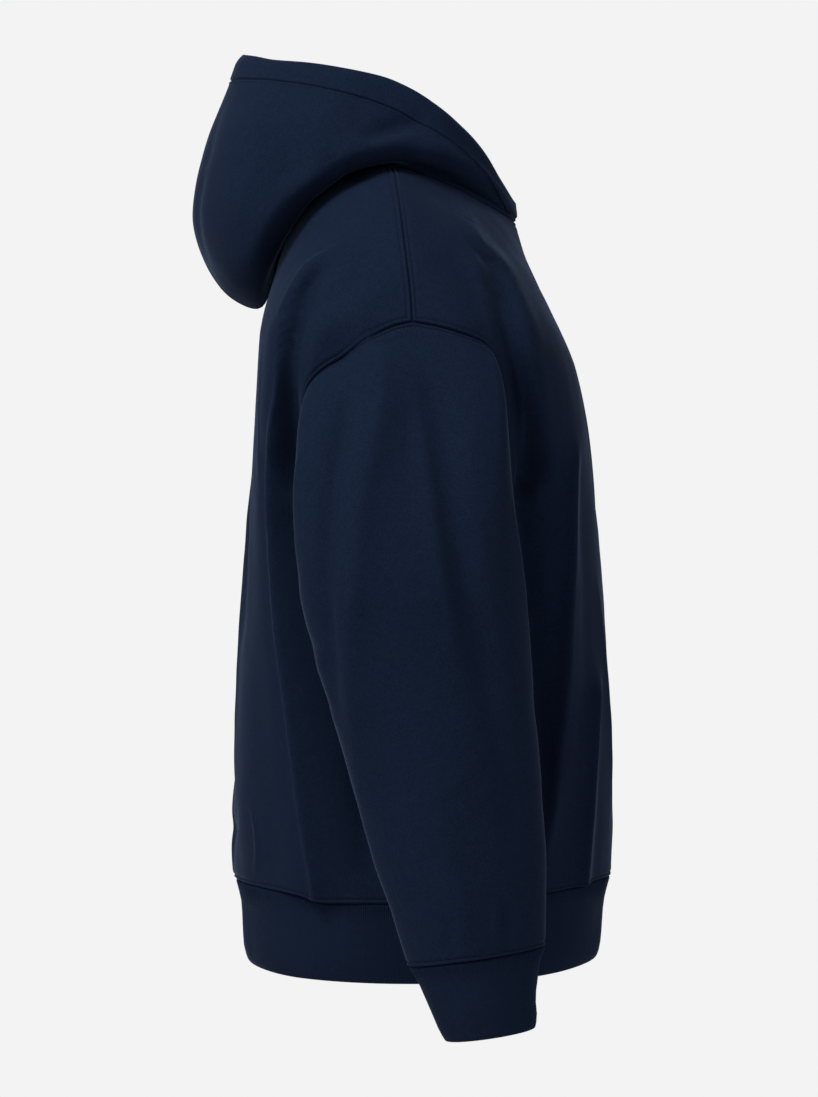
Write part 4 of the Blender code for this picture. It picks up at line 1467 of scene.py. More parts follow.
@dataclass
class Tailor:
    """Presses seams into the pieces."""

    shape: SeamShape

    # distance over which the ends of the wall turn to face the way of a seam
    blend = 7 * MM

    def sew(self, cloth: Cloth, seams: list[Seam]) -> None:
        """Gives a piece its seam relief and makes its wall ends face the way of each seam.

        Args:
            cloth: The piece.
            seams: Every seam on it.
        """
        least = np.full(cloth.points.shape[:2], np.inf)
        plain = np.full(cloth.points.shape[:2], np.inf)
        way = cloth.normals.copy()
        near = np.full(cloth.points.shape[:2], np.inf)
        for seam in seams:
            gap, out = seam.meet(cloth)
            cloth.gaps[seam.name] = gap
            closer = gap < near
            way = np.where(closer[..., None], out, way)
            near = np.minimum(near, gap)
            if seam.sewn:
                least = np.minimum(least, gap)
            else:
                plain = np.minimum(plain, gap)
        own = ease(near / self.blend)[..., None]
        ways = unit(cloth.normals * own + way * (1 - own))
        relief = self.shape.height(least, True) + self.shape.height(plain, False)
        relief = np.maximum(relief, -self.shape.groove * MM)
        cloth.normals = ways
        cloth.outer = cloth.points + ways * relief[..., None]


# ----- Meshes -----


def mesh_from(name: str, verts: Array, quads: Array, tris: Array | None = None) -> bpy.types.Mesh:
    """Mesh with smooth faces from arrays.

    Args:
        name: Name of the mesh.
        verts: Points.
        quads: Faces with four vertex numbers.
        tris: Faces with three.
    """
    tris = np.zeros((0, 3), int) if tris is None else tris
    loops = np.concatenate([quads.reshape(-1), tris.reshape(-1)])
    sizes = np.concatenate([np.full(len(quads), 4), np.full(len(tris), 3)])
    starts = np.concatenate([[0], np.cumsum(sizes)[:-1]])
    mesh = bpy.data.meshes.new(name)
    mesh.vertices.add(len(verts))
    mesh.vertices.foreach_set("co", np.ascontiguousarray(verts, np.float32).reshape(-1))
    mesh.loops.add(len(loops))
    mesh.loops.foreach_set("vertex_index", loops.astype(np.int32))
    mesh.polygons.add(len(sizes))
    mesh.polygons.foreach_set("loop_start", starts.astype(np.int32))
    mesh.polygons.foreach_set("use_smooth", np.ones(len(sizes), bool))
    mesh.update(calc_edges=True)
    mesh.validate()
    return mesh


def grid_quads(index: Array, wrap: bool, outward: bool) -> Array:
    """Quads of a grid of vertex numbers.

    Args:
        index: Vertex numbers, rows by columns.
        wrap: True where the last column meets the first.
        outward: False turns the faces round.
    """
    nxt = np.roll(index, -1, axis=1) if wrap else index[:, 1:]
    cur = index if wrap else index[:, :-1]
    quads = np.stack([cur[:-1], cur[1:], nxt[1:], nxt[:-1]], axis=-1).reshape(-1, 4)
    return quads if outward else quads[:, ::-1]


def strip_quads(first: Array, second: Array) -> Array:
    """Quads between two rows of vertex numbers."""
    return np.stack([first[:-1], first[1:], second[1:], second[:-1]], axis=-1)


def fan_tris(fine: Array, coarse: Array) -> Array:
    """Triangles between a fine row and one with every second vertex."""
    a, b, c = fine[:-2:2], fine[1:-1:2], fine[2::2]
    p, q = coarse[:-1], coarse[1:]
    return np.concatenate([np.stack([a, b, p], -1), np.stack([b, c, q], -1), np.stack([b, q, p], -1)])


def add_object(name: str, mesh: bpy.types.Mesh, material: bpy.types.Material) -> bpy.types.Object:
    """Links a mesh to the scene with its finish."""
    mesh.materials.append(material)
    obj = bpy.data.objects.new(name, mesh)
    bpy.context.scene.collection.objects.link(obj)
    return obj


@dataclass
class Shell:
    """Closed wall of a piece: the sewn face, a plain inner face and the ends between them.

    Args:
        cloth: The piece.
        lip: Rows that round the bottom edge, 0 for a square one.
    """

    cloth: Cloth
    lip: int = 0

    def mesh(self) -> bpy.types.Mesh:
        """Mesh of the wall. Without a lip, the inner face has every second point of the outer one."""
        cloth = self.cloth
        inner = cloth.points - cloth.normals * cloth.wall[..., None]
        rows, cols = cloth.outer.shape[:2]
        face = np.arange(rows * cols).reshape(rows, cols)
        if self.lip:
            return self.lipped(inner, face)
        back_grid = inner[::2, ::2]
        back = rows * cols + np.arange(back_grid.shape[0] * back_grid.shape[1]).reshape(back_grid.shape[:2])
        quads = [grid_quads(face, cloth.wrap, not cloth.flip), grid_quads(back, cloth.wrap, cloth.flip)]
        rims = [(face[0], back[0], False), (face[-1], back[-1], True)]
        if cloth.wrap:
            rims = [(np.append(a, a[0]), np.append(b, b[0]), turn) for a, b, turn in rims]
        else:
            rims += [(face[:, 0], back[:, 0], True), (face[:, -1], back[:, -1], False)]
        ends = []
        for fine, coarse, turn in rims:
            tris = fan_tris(fine, coarse)
            ends.append(tris if turn != cloth.flip else tris[:, ::-1])
        verts = np.concatenate([cloth.outer.reshape(-1, 3), back_grid.reshape(-1, 3)])
        return mesh_from(cloth.name, verts, np.concatenate(quads), np.concatenate(ends))

    def lipped(self, inner: Array, face: Array) -> bpy.types.Mesh:
        """Wall whose bottom edge rolls over from the outer face to the inner one.

        Args:
            inner: Points of the inner face.
            face: Vertex numbers of the outer face.
        """
        cloth = self.cloth
        rows, cols = face.shape
        middle = (cloth.outer[-1] + inner[-1]) / 2
        up = cloth.outer[-1] - middle
        reach = unit(cloth.outer[-1] - cloth.outer[-4]) * np.linalg.norm(up, axis=1)[:, None]
        angles = np.linspace(0, math.pi, self.lip + 2)[1:-1]
        roll = [middle + up * math.cos(a) + reach * math.sin(a) * 0.9 for a in angles]
        band = np.concatenate([np.stack(roll), inner[::-1]])
        verts = np.concatenate([cloth.outer.reshape(-1, 3), band.reshape(-1, 3)])
        extra = rows * cols + np.arange(len(band) * cols).reshape(len(band), cols)
        index = np.concatenate([face, extra])
        quads = [grid_quads(index, cloth.wrap, not cloth.flip)]
        top = strip_quads(index[0], index[-1])
        quads.append(top[:, ::-1] if not cloth.flip else top)
        if not cloth.wrap:
            back = extra[self.lip :][::-1]
            for side, turn in ((0, False), (-1, True)):
                end = strip_quads(face[:, side], back[:, side])
                quads.append(end if turn == cloth.flip else end[:, ::-1])
            for side, turn in ((0, False), (-1, True)):
                loop = np.concatenate([[face[-1, side]], extra[: self.lip, side], [back[-1, side]]])
                half = (len(loop) - 1) // 2
                from_back = loop[::-1]
                corners = (loop[:half], loop[1 : half + 1], from_back[1 : half + 1], from_back[:half])
                fan = np.stack(corners, axis=-1)
                quads.append(fan if turn == cloth.flip else fan[:, ::-1])
        return mesh_from(cloth.name, verts, np.concatenate(quads))


# ----- Rib knit -----


# shares of the way down a band at which it has a row of points
BAND_LEVELS = np.array([0, 0.007, 0.014, 0.022, 0.032, 0.045, 0.07, 0.11, 0.17, 0.28, 0.42, 0.56, 0.7,
                        0.84, 0.95, 1])


@dataclass(frozen=True)
class RibKnit:
    """Rib knit: pitch and height of the ribs by the seam, the share left below, and the wall."""

    pitch: float = 1.85 * MM
    height: float = 0.8 * MM
    rest: float = 0.25
    wall: float = 2.8 * MM
    steps: int = 4
    lip: int = 3
    # how far ribs stray from even places, and the least of their heights
    jog: float = 0.12
    least: float = 0.75
    # how far the band sinks at its seam, and the width of that
    sink: float = 1.3 * MM
    sink_width: float = 1.2 * MM
    # run over which ribs rise below the seam, where they are highest and how far that reaches
    rise: float = 1.5 * MM
    full_at: float = 3 * MM
    full_width: float = 8 * MM
    # run over which ribs die away at the edge, and the share that is left there
    end: float = 2.5 * MM
    end_left: float = 0.2
    # share by which their height wavers, and the distance over which it does
    waver: float = 0.4
    waver_length: float = 50 * MM


@dataclass
class RibBand:
    """Tube of rib knit between a seam and a rolled edge."""

    name: str
    knit: RibKnit
    seed: int

    def rings(self, levels: Array, around: Array) -> tuple[Array, Array]:
        """Outer points and ways out. Each kind of band has its own.

        Args:
            levels: Shares of the way down the band.
            around: Angles round it.

        Returns:
            Both as grids.
        """
        raise NotImplementedError

    def even(self) -> tuple[Array, int]:
        """Angles that space the ribs evenly half way down, and the number of ribs."""
        turn = np.linspace(0, 2 * math.pi, 1441)
        ring, _way = self.rings(np.array([0.5]), turn)
        run = run_length(ring[0])
        ribs = round(run[-1] / self.knit.pitch)
        rng = np.random.default_rng(self.seed)
        jog = np.repeat(rng.uniform(-self.knit.jog, self.knit.jog, ribs), self.knit.steps) / ribs
        want = (np.arange(ribs * self.knit.steps) / (ribs * self.knit.steps) + jog) % 1
        return np.interp(np.sort(want) * run[-1], run, turn), ribs

    def cloth(self) -> Cloth:
        """Band with ribs raised in its outer points."""
        knit = self.knit
        around, ribs = self.even()
        pts, way = self.rings(BAND_LEVELS, around)
        wave = 0.5 - 0.5 * np.cos(np.arange(ribs * knit.steps) * 2 * math.pi / knit.steps)
        rng = np.random.default_rng(self.seed + 1)
        wave = wave * np.repeat(rng.uniform(knit.least, 1.0, ribs), knit.steps)
        down = run_length(pts[:, :1])[:, 0]
        sink = -knit.sink * bump_at(down, 0, knit.sink_width)
        ends = np.clip(down / knit.rise, 0, 1) * np.clip((down[-1] - down) / knit.end + knit.end_left, 0, 1)
        show = ends * (knit.rest + (1 - knit.rest) * bump_at(down, knit.full_at, knit.full_width))
        show = show[:, None] * (1 + knit.waver * unevenness(pts, knit.waver_length, self.seed))
        cloth = Cloth(self.name, pts, np.array(knit.wall), wrap=True)
        cloth.normals = way
        cloth.outer = pts + way * (sink[:, None] + knit.height * show * wave)[..., None]
        return cloth

    def mesh(self) -> bpy.types.Mesh:
        """Closed tube: ribbed outside, rolled edge and plain inside."""
        cloth = self.cloth()
        rows, cols = cloth.outer.shape[:2]
        pick = np.array([0, rows // 2, rows - 1])
        inner = (cloth.points - cloth.normals * self.knit.wall)[pick]
        last = cloth.outer[-1]
        middle = (cloth.points[-1] + inner[-1]) / 2
        up = last - middle
        reach = unit(cloth.points[-1] - cloth.points[-3]) * self.knit.wall / 2
        angles = np.linspace(0, math.pi, self.knit.lip + 2)[1:-1]
        roll = [middle + up * math.cos(a) + reach * math.sin(a) for a in angles]
        grid = np.concatenate([cloth.outer, np.stack(roll), inner[::-1]])
        index = np.arange(grid.shape[0] * cols).reshape(grid.shape[0], cols)
        index = np.concatenate([index, index[:1]])
        return mesh_from(self.name, grid.reshape(-1, 3), grid_quads(index, True, True))


@dataclass
class HemBand(RibBand):
    """Rib band under the body."""

    body: BodyForm

    def rings(self, levels: Array, around: Array) -> tuple[Array, Array]:
        """Rings from the hem seam to the hem's edge, square to the body's outline."""
        sizes = self.body.sizes
        top = self.body.hem_height(around, sizes.hem_seam, sizes.hem_seam_rise)
        low = self.body.hem_height(around, sizes.hem_edge, sizes.hem_edge_rise)
        z = top * (1 - levels[:, None]) + low * levels[:, None]
        pts = self.body.point(around[None], z)
        along = self.body.point(around[None] + 0.004, z) - self.body.point(around[None] - 0.004, z)
        return pts, unit(np.cross(along, np.array([0, 0, 1.0])))


@dataclass
class Cuff(RibBand):
    """Rib band at the end of a sleeve."""

    hand: Hand

    # height, middle from side to side, half width, back edge, front edge, front higher than back by
    table = (
        (-702, 276, 46, -15, -133, 18),
        (-712, 276, 43, -21, -129, 17),
        (-728, 275, 42, -28, -127, 16),
        (-745, 275, 41, -35, -125, 14),
        (-762, 274, 39, -42, -126, 12),
        (-769, 274, 38, -46, -125, 12),
    )

    def rings(self, levels: Array, around: Array) -> tuple[Array, Array]:
        """Tilted rings from the cuff seam to the cuff's edge."""
        table = np.array(self.table, float)[::-1]
        z = self.table[0][0] + (self.table[-1][0] - self.table[0][0]) * levels
        rows = spline(table[:, 0], table, z)
        turn = around * self.hand.value
        pts = tube_ring(rows.T, turn, self.hand)
        along = tube_ring(rows.T, turn + 0.01, self.hand) - tube_ring(rows.T, turn - 0.01, self.hand)
        tilt = (rows[:, 5] / (rows[:, 3] - rows[:, 4]))[:, None]
        plane = np.stack([tilt * 0, tilt, tilt * 0 + 1], axis=-1)
        out = unit(np.cross(along, plane))
        outward = pts - pts.mean(axis=1, keepdims=True)
        sign = np.sign(np.sum(out * outward, axis=-1).mean())
        return pts, out * sign


# ----- Thread -----


@dataclass(frozen=True)
class Thread:
    """Topstitching: distance between stitches, length and thickness of each."""

    pitch: float = 3.0 * MM
    length: float = 2.35 * MM
    radius: float = 0.27 * MM
    sink: float = 0.12 * MM
    # where in its pitch a stitch begins, and its thickness at the ends against the middle
    begin: float = 0.3 * MM
    end_share: float = 0.7


@dataclass
class Stitching:
    """Collects stitch lines and makes them one mesh of short bent threads."""

    thread: Thread
    places: list[tuple[Array, Array, Array]] = field(default_factory=list)

    def follow(self, line: Array, ways: Array) -> None:
        """Lays stitches along a line on the cloth.

        Args:
            line: Points along it.
            ways: Ways out of the cloth there.
        """
        run = run_length(line)
        count = int(run[-1] // self.thread.pitch)
        if count < 1:
            return
        start = (run[-1] - count * self.thread.pitch) / 2 + np.arange(count) * self.thread.pitch
        begin = self.thread.begin
        a, b, up = (
            np.stack([np.interp(start + far, run, of[:, k]) for k in range(3)], axis=-1)
            for far, of in ((begin, line), (begin + self.thread.length, line), (self.thread.pitch / 2, ways))
        )
        self.places.append((a, b, unit(up)))

    def mesh(self) -> bpy.types.Mesh:
        """Three rings of four points for each stitch, the ends sunk into the cloth."""
        a, b, up = (np.concatenate(part) for part in zip(*self.places))
        along = unit(b - a)
        side = unit(np.cross(along, up))
        up = np.cross(side, along)
        thread = self.thread
        corners = np.radians([45, 135, 225, 315])
        rings = []
        low = -thread.sink - thread.radius
        ends = thread.end_share
        for share, lift, wide in ((0, low, ends), (0.5, thread.sink, 1.0), (1, low, ends)):
            centre = a + (b - a) * share + up * lift
            ring = [
                centre + (side * math.cos(c) + up * math.sin(c)) * thread.radius * wide for c in corners
            ]
            rings.append(np.stack(ring, axis=1))
        verts = np.stack(rings, axis=1)
        base = np.array([[r * 4 + k, r * 4 + (k + 1) % 4, (r + 1) * 4 + (k + 1) % 4, (r + 1) * 4 + k]
                         for r in range(2) for k in range(4)] + [[3, 2, 1, 0], [8, 9, 10, 11]])
        quads = (base[None] + (np.arange(len(a)) * 12)[:, None, None]).reshape(-1, 4)
        LOG.info("stitches: %d", len(a))
        return mesh_from("stitching", verts.reshape(-1, 3), quads)


# ----- Finishes -----


class Nodes:
    """Small helper that adds and links shader nodes."""

    def __init__(self, name: str) -> None:
        """Makes an empty material that reads the object's own coordinates."""
        self.material = bpy.data.materials.new(name)
        self.material.use_nodes = True
        self.tree = self.material.node_tree
        self.shader = self.tree.nodes["Principled BSDF"]
        self.where = self.add("ShaderNodeTexCoord").outputs["Object"]

    def add(self, kind: str, **inputs: object) -> bpy.types.Node:
        """New node with values or links for its inputs, spaces written as underscores."""
        node = self.tree.nodes.new(kind)
        for key, value in inputs.items():
            self.put(node.inputs[key.replace("_", " ")], value)
        return node

    def put(self, socket: bpy.types.NodeSocket, value: object) -> None:
        """Sets or links one input."""
        if isinstance(value, bpy.types.NodeSocket):
            self.tree.links.new(value, socket)
        else:
            socket.default_value = value

    def noise(self, size: float, detail: float, rough: float = 0.55) -> bpy.types.NodeSocket:
        """Noise whose blotches are about `size` metres across.

        Args:
            size: Size of a blotch.
            detail: Octaves of finer noise.
            rough: Weight of those.

        Returns:
            Value of about 0 to 1.
        """
        node = self.add("ShaderNodeTexNoise", Vector=self.where, Scale=1 / size, Detail=detail,
                        Roughness=rough)
        return node.outputs["Fac"]

    def remap(self, value: bpy.types.NodeSocket, low: float, high: float, to_low: float,
              to_high: float) -> bpy.types.NodeSocket:
        """Linear map of a value, held to the new range."""
        node = self.add("ShaderNodeMapRange", Value=value, From_Min=low, From_Max=high, To_Min=to_low,
                        To_Max=to_high)
        return node.outputs["Result"]

    def maths(self, kind: str, a: object, b: object) -> bpy.types.NodeSocket:
        """Arithmetic on two values.

        Args:
            kind: Blender's name of the operation.
            a: First value.
            b: Second value.
        """
        node = self.tree.nodes.new("ShaderNodeMath")
        node.operation = kind
        self.put(node.inputs[0], a)
        self.put(node.inputs[1], b)
        return node.outputs[0]

    def mix(self, factor: object, a: object, b: object) -> bpy.types.NodeSocket:
        """Mix of two colours.

        Args:
            factor: Share of the second.
            a: First colour.
            b: Second colour.
        """
        node = self.tree.nodes.new("ShaderNodeMix")
        node.data_type = "RGBA"
        self.put(node.inputs["Factor"], factor)
        self.put(node.inputs[6], a)
        self.put(node.inputs[7], b)
        return node.outputs[2]

    def surface(self, **inputs: object) -> None:
        """Sets or links inputs of the shader, spaces written as underscores."""
        for key, value in inputs.items():
            self.put(self.shader.inputs[key.replace("_", " ")], value)

    def bump(self, height: bpy.types.NodeSocket, depth: float, strength: float) -> bpy.types.NodeSocket:
        """Normal from a height map of a given depth in metres."""
        node = self.add("ShaderNodeBump", Height=height, Distance=depth, Strength=strength)
        return node.outputs["Normal"]


def rgba(colour: Colour, scale: float = 1.0) -> tuple[float, float, float, float]:
    """Colour with alpha, made lighter or darker."""
    return (colour[0] * scale, colour[1] * scale, colour[2] * scale, 1.0)


@dataclass(frozen=True)
class FleeceFinish:
    """Brushed cotton jersey: matt, with a short nap that catches light at the edges."""

    name: str = "fleece"
    colour: Colour = (0.0036, 0.0068, 0.0162)
    mottle: float = 0.34
    fibre: float = 1.5 * MM
    nap: float = 4.5
    depth: float = 0.5 * MM
    bump: float = 0.6
    sheen: float = 0.008
    rim: float = 0.09
    rim_power: float = 5.0
    sheen_rough: float = 0.3
    specular: float = 0.018
    rough: float = 0.92
    tint: Colour = (0.40, 0.60, 1.0)

    def material(self) -> bpy.types.Material:
        """Node material on the object's own coordinates."""
        nodes = Nodes(self.name)
        fine = nodes.noise(self.fibre, 4, 0.65)
        nap = nodes.noise(self.fibre * self.nap, 3, 0.6)
        fine_tone = nodes.remap(fine, 0.3, 0.7, -0.8, 0.8)
        nap_tone = nodes.remap(nap, 0.3, 0.7, -0.2, 0.2)
        factor = nodes.remap(nodes.maths("ADD", fine_tone, nap_tone), -1, 1, 0, 1)
        edge = nodes.add("ShaderNodeLayerWeight", Blend=0.5).outputs["Facing"]
        rim = nodes.maths("MULTIPLY", nodes.maths("POWER", edge, self.rim_power), self.rim)
        dark, pale = rgba(self.colour, 1 - self.mottle), rgba(self.colour, 1 + self.mottle)
        height = nodes.maths("ADD", fine, nodes.maths("MULTIPLY", nap, 0.5))
        nodes.surface(
            Base_Color=nodes.mix(factor, dark, pale),
            Normal=nodes.bump(height, self.depth, self.bump),
            Roughness=self.rough,
            Specular_IOR_Level=self.specular,
            Sheen_Weight=nodes.maths("ADD", rim, self.sheen),
            Sheen_Roughness=self.sheen_rough,
            Sheen_Tint=rgba(self.tint),
        )
        return nodes.material


@dataclass(frozen=True)
class ThreadFinish:
    """Sewing thread in the cloth's navy, made darker than the cloth as painted shade for the small shadows
    between the stitches.
    """

    name: str = "thread"
    # darker than the fleece: painted shade for the shadows between the stitches, on top of the thread's navy
    colour: Colour = (0.0030, 0.0056, 0.0130)
    rough: float = 0.6
    specular: float = 0.12

    def material(self) -> bpy.types.Material:
        """Node material with the fine twist of the thread."""
        nodes = Nodes(self.name)
        twist = nodes.noise(0.4 * MM, 2)
        nodes.surface(
            Base_Color=nodes.mix(twist, rgba(self.colour, 0.8), rgba(self.colour, 1.25)),
            Normal=nodes.bump(twist, 0.1 * MM, 0.5),
            Roughness=self.rough,
            Specular_IOR_Level=self.specular,
        )
        return nodes.material


# ----- Garment -----


@dataclass(frozen=True)
class CutSizes:
    """Flat cut of each piece in metres: width, length and area."""

    front: Triple = (0.72, 0.68, 0.40)
    back: Triple = (0.74, 0.70, 0.40)
    sleeve: Triple = (0.56, 0.57, 0.22)
    hood: Triple = (0.30, 0.42, 0.086)
    hem: Triple = (1.28, 0.074, 0.092)
    cuff: Triple = (0.31, 0.07, 0.02)

    def of(self, piece: str) -> Triple:
        """Cut of a piece by the first word of its name."""
        return getattr(self, piece.split("_")[0])


class Hoodie:
    """Builds every piece, sews them and puts them in the scene."""

    body_wall = 2.4 * MM
    # height, length and seed of each soft swell of the cloth
    swells = ((0.6 * MM, 95 * MM, 3), (0.22 * MM, 38 * MM, 5))
    # distance that topstitching keeps from a crossing seam, and from the hem's stitching
    keep = 3.2 * MM
    keep_hem = 2 * MM
    # rows that round the hood's edge
    hood_lip = 5

    def __init__(self) -> None:
        """Takes the sizes."""
        self.body = BodyForm(BodySizes())
        self.sleeve_sizes = SleeveSizes()
        self.hood_sizes = HoodSizes()
        self.knit = RibKnit()
        self.shape = SeamShape()
        self.stitching = Stitching(Thread())
        self.cuts = CutSizes()
        self.pieces: dict[str, Cloth] = {}
        self.hem_gaps: dict[Hand, Array] = {}

    def cut(self) -> None:
        """Makes the grids."""
        for face in Face:
            cloth = Panel(self.body, face).cloth(self.body_wall)
            self.pieces[cloth.name] = cloth
        for hand in Hand:
            cloth = Sleeve(self.body, hand, self.sleeve_sizes).cloth(self.body_wall)
            self.pieces[cloth.name] = cloth
            cloth, past = Hood(self.body, hand, self.hood_sizes).cloth()
            self.pieces[cloth.name] = cloth
            self.hem_gaps[hand] = past

    def crease(self) -> None:
        """Adds the creases and the soft swell of the cloth, alike on pieces that share a seam."""
        far = tuple(
            mark.across(*OTHER_SIDE[k % len(OTHER_SIDE)]) for k, mark in enumerate(SIDE_CREASES)
        )
        amounts = {name: 0 * cloth.points[..., 0] for name, cloth in self.pieces.items()}
        for mark in SIDE_CREASES + far + PANEL_CREASES:
            line = mark.line([self.pieces[name] for name in mark.pieces])
            for name in mark.pieces:
                amounts[name] += mark.shape(self.pieces[name].points, line)
        for name, cloth in self.pieces.items():
            swell = sum(high * unevenness(cloth.points, length, seed) for high, length, seed in self.swells)
            cloth.shift(amounts[name] + swell)

    def shared_seams(self, hand: Hand) -> list[Seam]:
        """Armhole, side, shoulder and neck seam of one side.

        Args:
            hand: Side of the wearer.

        Returns:
            The four seams in that order.
        """
        side = hand.name.lower()
        front, back = self.pieces["front_panel"], self.pieces["back_panel"]
        column = Edge.LAST if hand is Hand.LEFT else Edge.FIRST
        f_edge, b_edge = front.edge(column), back.edge(column)
        ring, ring_way = self.pieces[f"sleeve_{side}"].edge(Edge.TOP)
        loop = np.concatenate([ring, ring[:1]])
        loop_way = np.concatenate([ring_way, ring_way[:1]]) + self.read_normals(loop, [f_edge, b_edge])
        under = np.argmin(np.abs(f_edge[0][:, 2] - self.body.sizes.underarm))
        flank = f_edge[0][under:]
        flank_way = f_edge[1][under:] + self.read_normals(flank, [b_edge])
        middle = front.points.shape[1] // 2
        half = slice(middle, None) if hand is Hand.LEFT else slice(middle, None, -1)
        (line_f, way_f), (line_b, way_b) = (
            tuple(part[half] for part in panel.edge(Edge.TOP)) for panel in (front, back)
        )
        # the seam's highest point is the shoulder point at the neck, at height 0
        turn = int(np.argmin(np.abs(line_f[:, 2])))
        shoulder = line_f[turn:]
        shoulder_way = way_f[turn:] + self.read_normals(shoulder, [(line_b, way_b)])
        neck, neck_way = self.pieces[f"hood_{side}"].edge(Edge.TOP)
        necks = [(line_f[: turn + 1], way_f[: turn + 1]), (line_b[: turn + 1], way_b[: turn + 1])]
        neck_way = neck_way + self.read_normals(neck, necks)
        return [
            Seam(f"armhole_{side}", loop, unit(loop_way), True),
            Seam(f"side_{side}", flank, unit(flank_way), False),
            Seam(f"shoulder_{side}", shoulder, unit(shoulder_way), True),
            Seam(f"neck_{side}", neck, unit(neck_way), True),
        ]

    def sleeve_seams(self, hand: Hand) -> list[Seam]:
        """Cuff and underarm seam of a sleeve."""
        side = hand.name.lower()
        sleeve = self.pieces[f"sleeve_{side}"]
        line, way = (np.concatenate([part, part[:1]]) for part in sleeve.edge(Edge.BOTTOM))
        half = sleeve.points.shape[1] // 2
        return [
            Seam(f"cuff_{side}", line, way, True),
            Seam(f"underarm_{side}", sleeve.points[:, half], sleeve.normals[:, half], False),
        ]

    def hood_seams(self, hand: Hand) -> list[Seam]:
        """Centre seam of the hood and the join below the throat."""
        hood = self.pieces[f"hood_{hand.name.lower()}"]
        level = np.array([0, 1, 1])
        centre, centre_way = hood.edge(Edge.LAST)
        throat, throat_way = hood.edge(Edge.FIRST)
        return [
            Seam("hood_centre", centre, unit(centre_way * level), True),
            Seam("hood_front", throat, unit(throat_way * level), False),
        ]

    def seams(self) -> dict[str, list[Seam]]:
        """Seam lines of each piece.

        Returns:
            Seams by the name of the piece.
        """
        out: dict[str, list[Seam]] = {name: [] for name in self.pieces}
        for hand in Hand:
            side = hand.name.lower()
            shared = self.shared_seams(hand)
            for face in Face:
                out[f"{face.value}_panel"] += shared
            face = Face.FRONT if hand is Hand.LEFT else Face.BACK
            panel = self.pieces[f"{face.value}_panel"]
            out[panel.name].append(Seam(f"hem_{face.value}", *panel.edge(Edge.BOTTOM), True))
            out[f"sleeve_{side}"] += [shared[0], *self.sleeve_seams(hand)]
            out[f"hood_{side}"] += [shared[-1], *self.hood_seams(hand)]
        return out

    @staticmethod
    def read_normals(line: Array, edges: list[Line]) -> Array:
        """Normals of the nearest of several edges.

        Args:
            line: Points at which they are read.
            edges: Edges as points with their normals.
        """
        best = np.full(len(line), np.inf)
        way = np.zeros_like(line)
        for pts, normals in edges:
            gap, place = nearest(line, pts)
            nearer = gap < best
            best = np.where(nearer, gap, best)
            way = np.where(nearer[:, None], along_line(normals, place), way)
        return unit(way)

    def sew(self) -> None:
        """Presses the seams in and turns the hood's hem."""
        seams = self.seams()
        tailor = Tailor(self.shape)
        for name, cloth in self.pieces.items():
            tailor.sew(cloth, seams[name])
        for hand, past in self.hem_gaps.items():
            hood = self.pieces[f"hood_{hand.name.lower()}"]
            full = np.clip(past[-1] / self.hood_sizes.hem, 0, 1)
            hood.gaps["hem"] = np.abs(past)
            hood.outer = hood.outer + hood.normals * (HemShape().height(past) * full)[..., None]

    def topstitch(self, piece: str, seam: str, edge: Edge, clear: dict[str, float]) -> None:
        """Lays stitches beside a seam.

        Args:
            piece: Piece that they are on.
            seam: Seam that they follow.
            edge: Edge of the piece's grid that lies on it.
            clear: Distance to keep from other seams.
        """
        for line, way in self.pieces[piece].inset(seam, edge, self.shape.dip_at * MM, clear):
            self.stitching.follow(line, way)

    def stitch(self) -> None:
        """Lays the topstitching."""
        keep = self.keep
        for hand in Hand:
            side = hand.name.lower()
            armhole, shoulder, neck = f"armhole_{side}", f"shoulder_{side}", f"neck_{side}"
            column = Edge.LAST if hand is Hand.LEFT else Edge.FIRST
            for face in Face:
                panel = f"{face.value}_panel"
                self.topstitch(panel, armhole, column, {f"side_{side}": keep})
                self.topstitch(panel, shoulder, Edge.TOP, {armhole: keep, neck: keep})
                self.topstitch(panel, neck, Edge.TOP, {shoulder: keep})
            for seam, edge in ((armhole, Edge.TOP), (f"cuff_{side}", Edge.BOTTOM)):
                self.topstitch(f"sleeve_{side}", seam, edge, {f"underarm_{side}": keep / 2})
            name = f"hood_{side}"
            self.topstitch(name, neck, Edge.TOP, {"hem": self.keep_hem, "hood_centre": keep})
            self.topstitch(name, "hood_centre", Edge.LAST, {neck: keep, "hem": keep})
            row = int(np.argmin(np.abs(self.hem_gaps[hand][:, -1])))
            self.stitching.follow(self.pieces[name].outer[row], self.pieces[name].normals[row])
        for face in Face:
            sides = {"side_right": keep, "side_left": keep}
            self.topstitch(f"{face.value}_panel", f"hem_{face.value}", Edge.BOTTOM, sides)

    def build(self) -> None:
        """Adds all pieces to the scene in place of their solids."""
        self.cut()
        self.crease()
        self.sew()
        self.stitch()
        fleece = FleeceFinish().material()
        rib = FleeceFinish(name="rib_knit", colour=(0.0034, 0.0064, 0.0152), fibre=1.0 * MM, bump=0.45,
                           mottle=0.26).material()
        for name, cloth in self.pieces.items():
            lip = self.hood_lip if name.startswith("hood") else 0
            self.place(name, Shell(cloth, lip).mesh(), fleece)
        bands = [HemBand("hem_band", self.knit, 11, self.body)]
        for hand in Hand:
            bands.append(Cuff(f"cuff_{hand.name.lower()}", self.knit, 21 + hand.value, hand))
        for band in bands:
            self.place(band.name, band.mesh(), rib)
        thread = add_object("stitching", self.stitching.mesh(), ThreadFinish().material())
        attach(thread, "root")

    def place(self, name: str, mesh: bpy.types.Mesh, material: bpy.types.Material) -> None:
        """Adds a cloth piece in place of its solid.

        Args:
            name: The piece, as its solid is called.
            mesh: Its mesh.
            material: Its finish.
        """
        width, length, area = self.cuts.of(name)
        obj = add_object(f"{name}_cloth", mesh, material)
        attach(obj, "root")
        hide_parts(name)
        LOG.info("%s: %d faces", name, len(mesh.polygons))


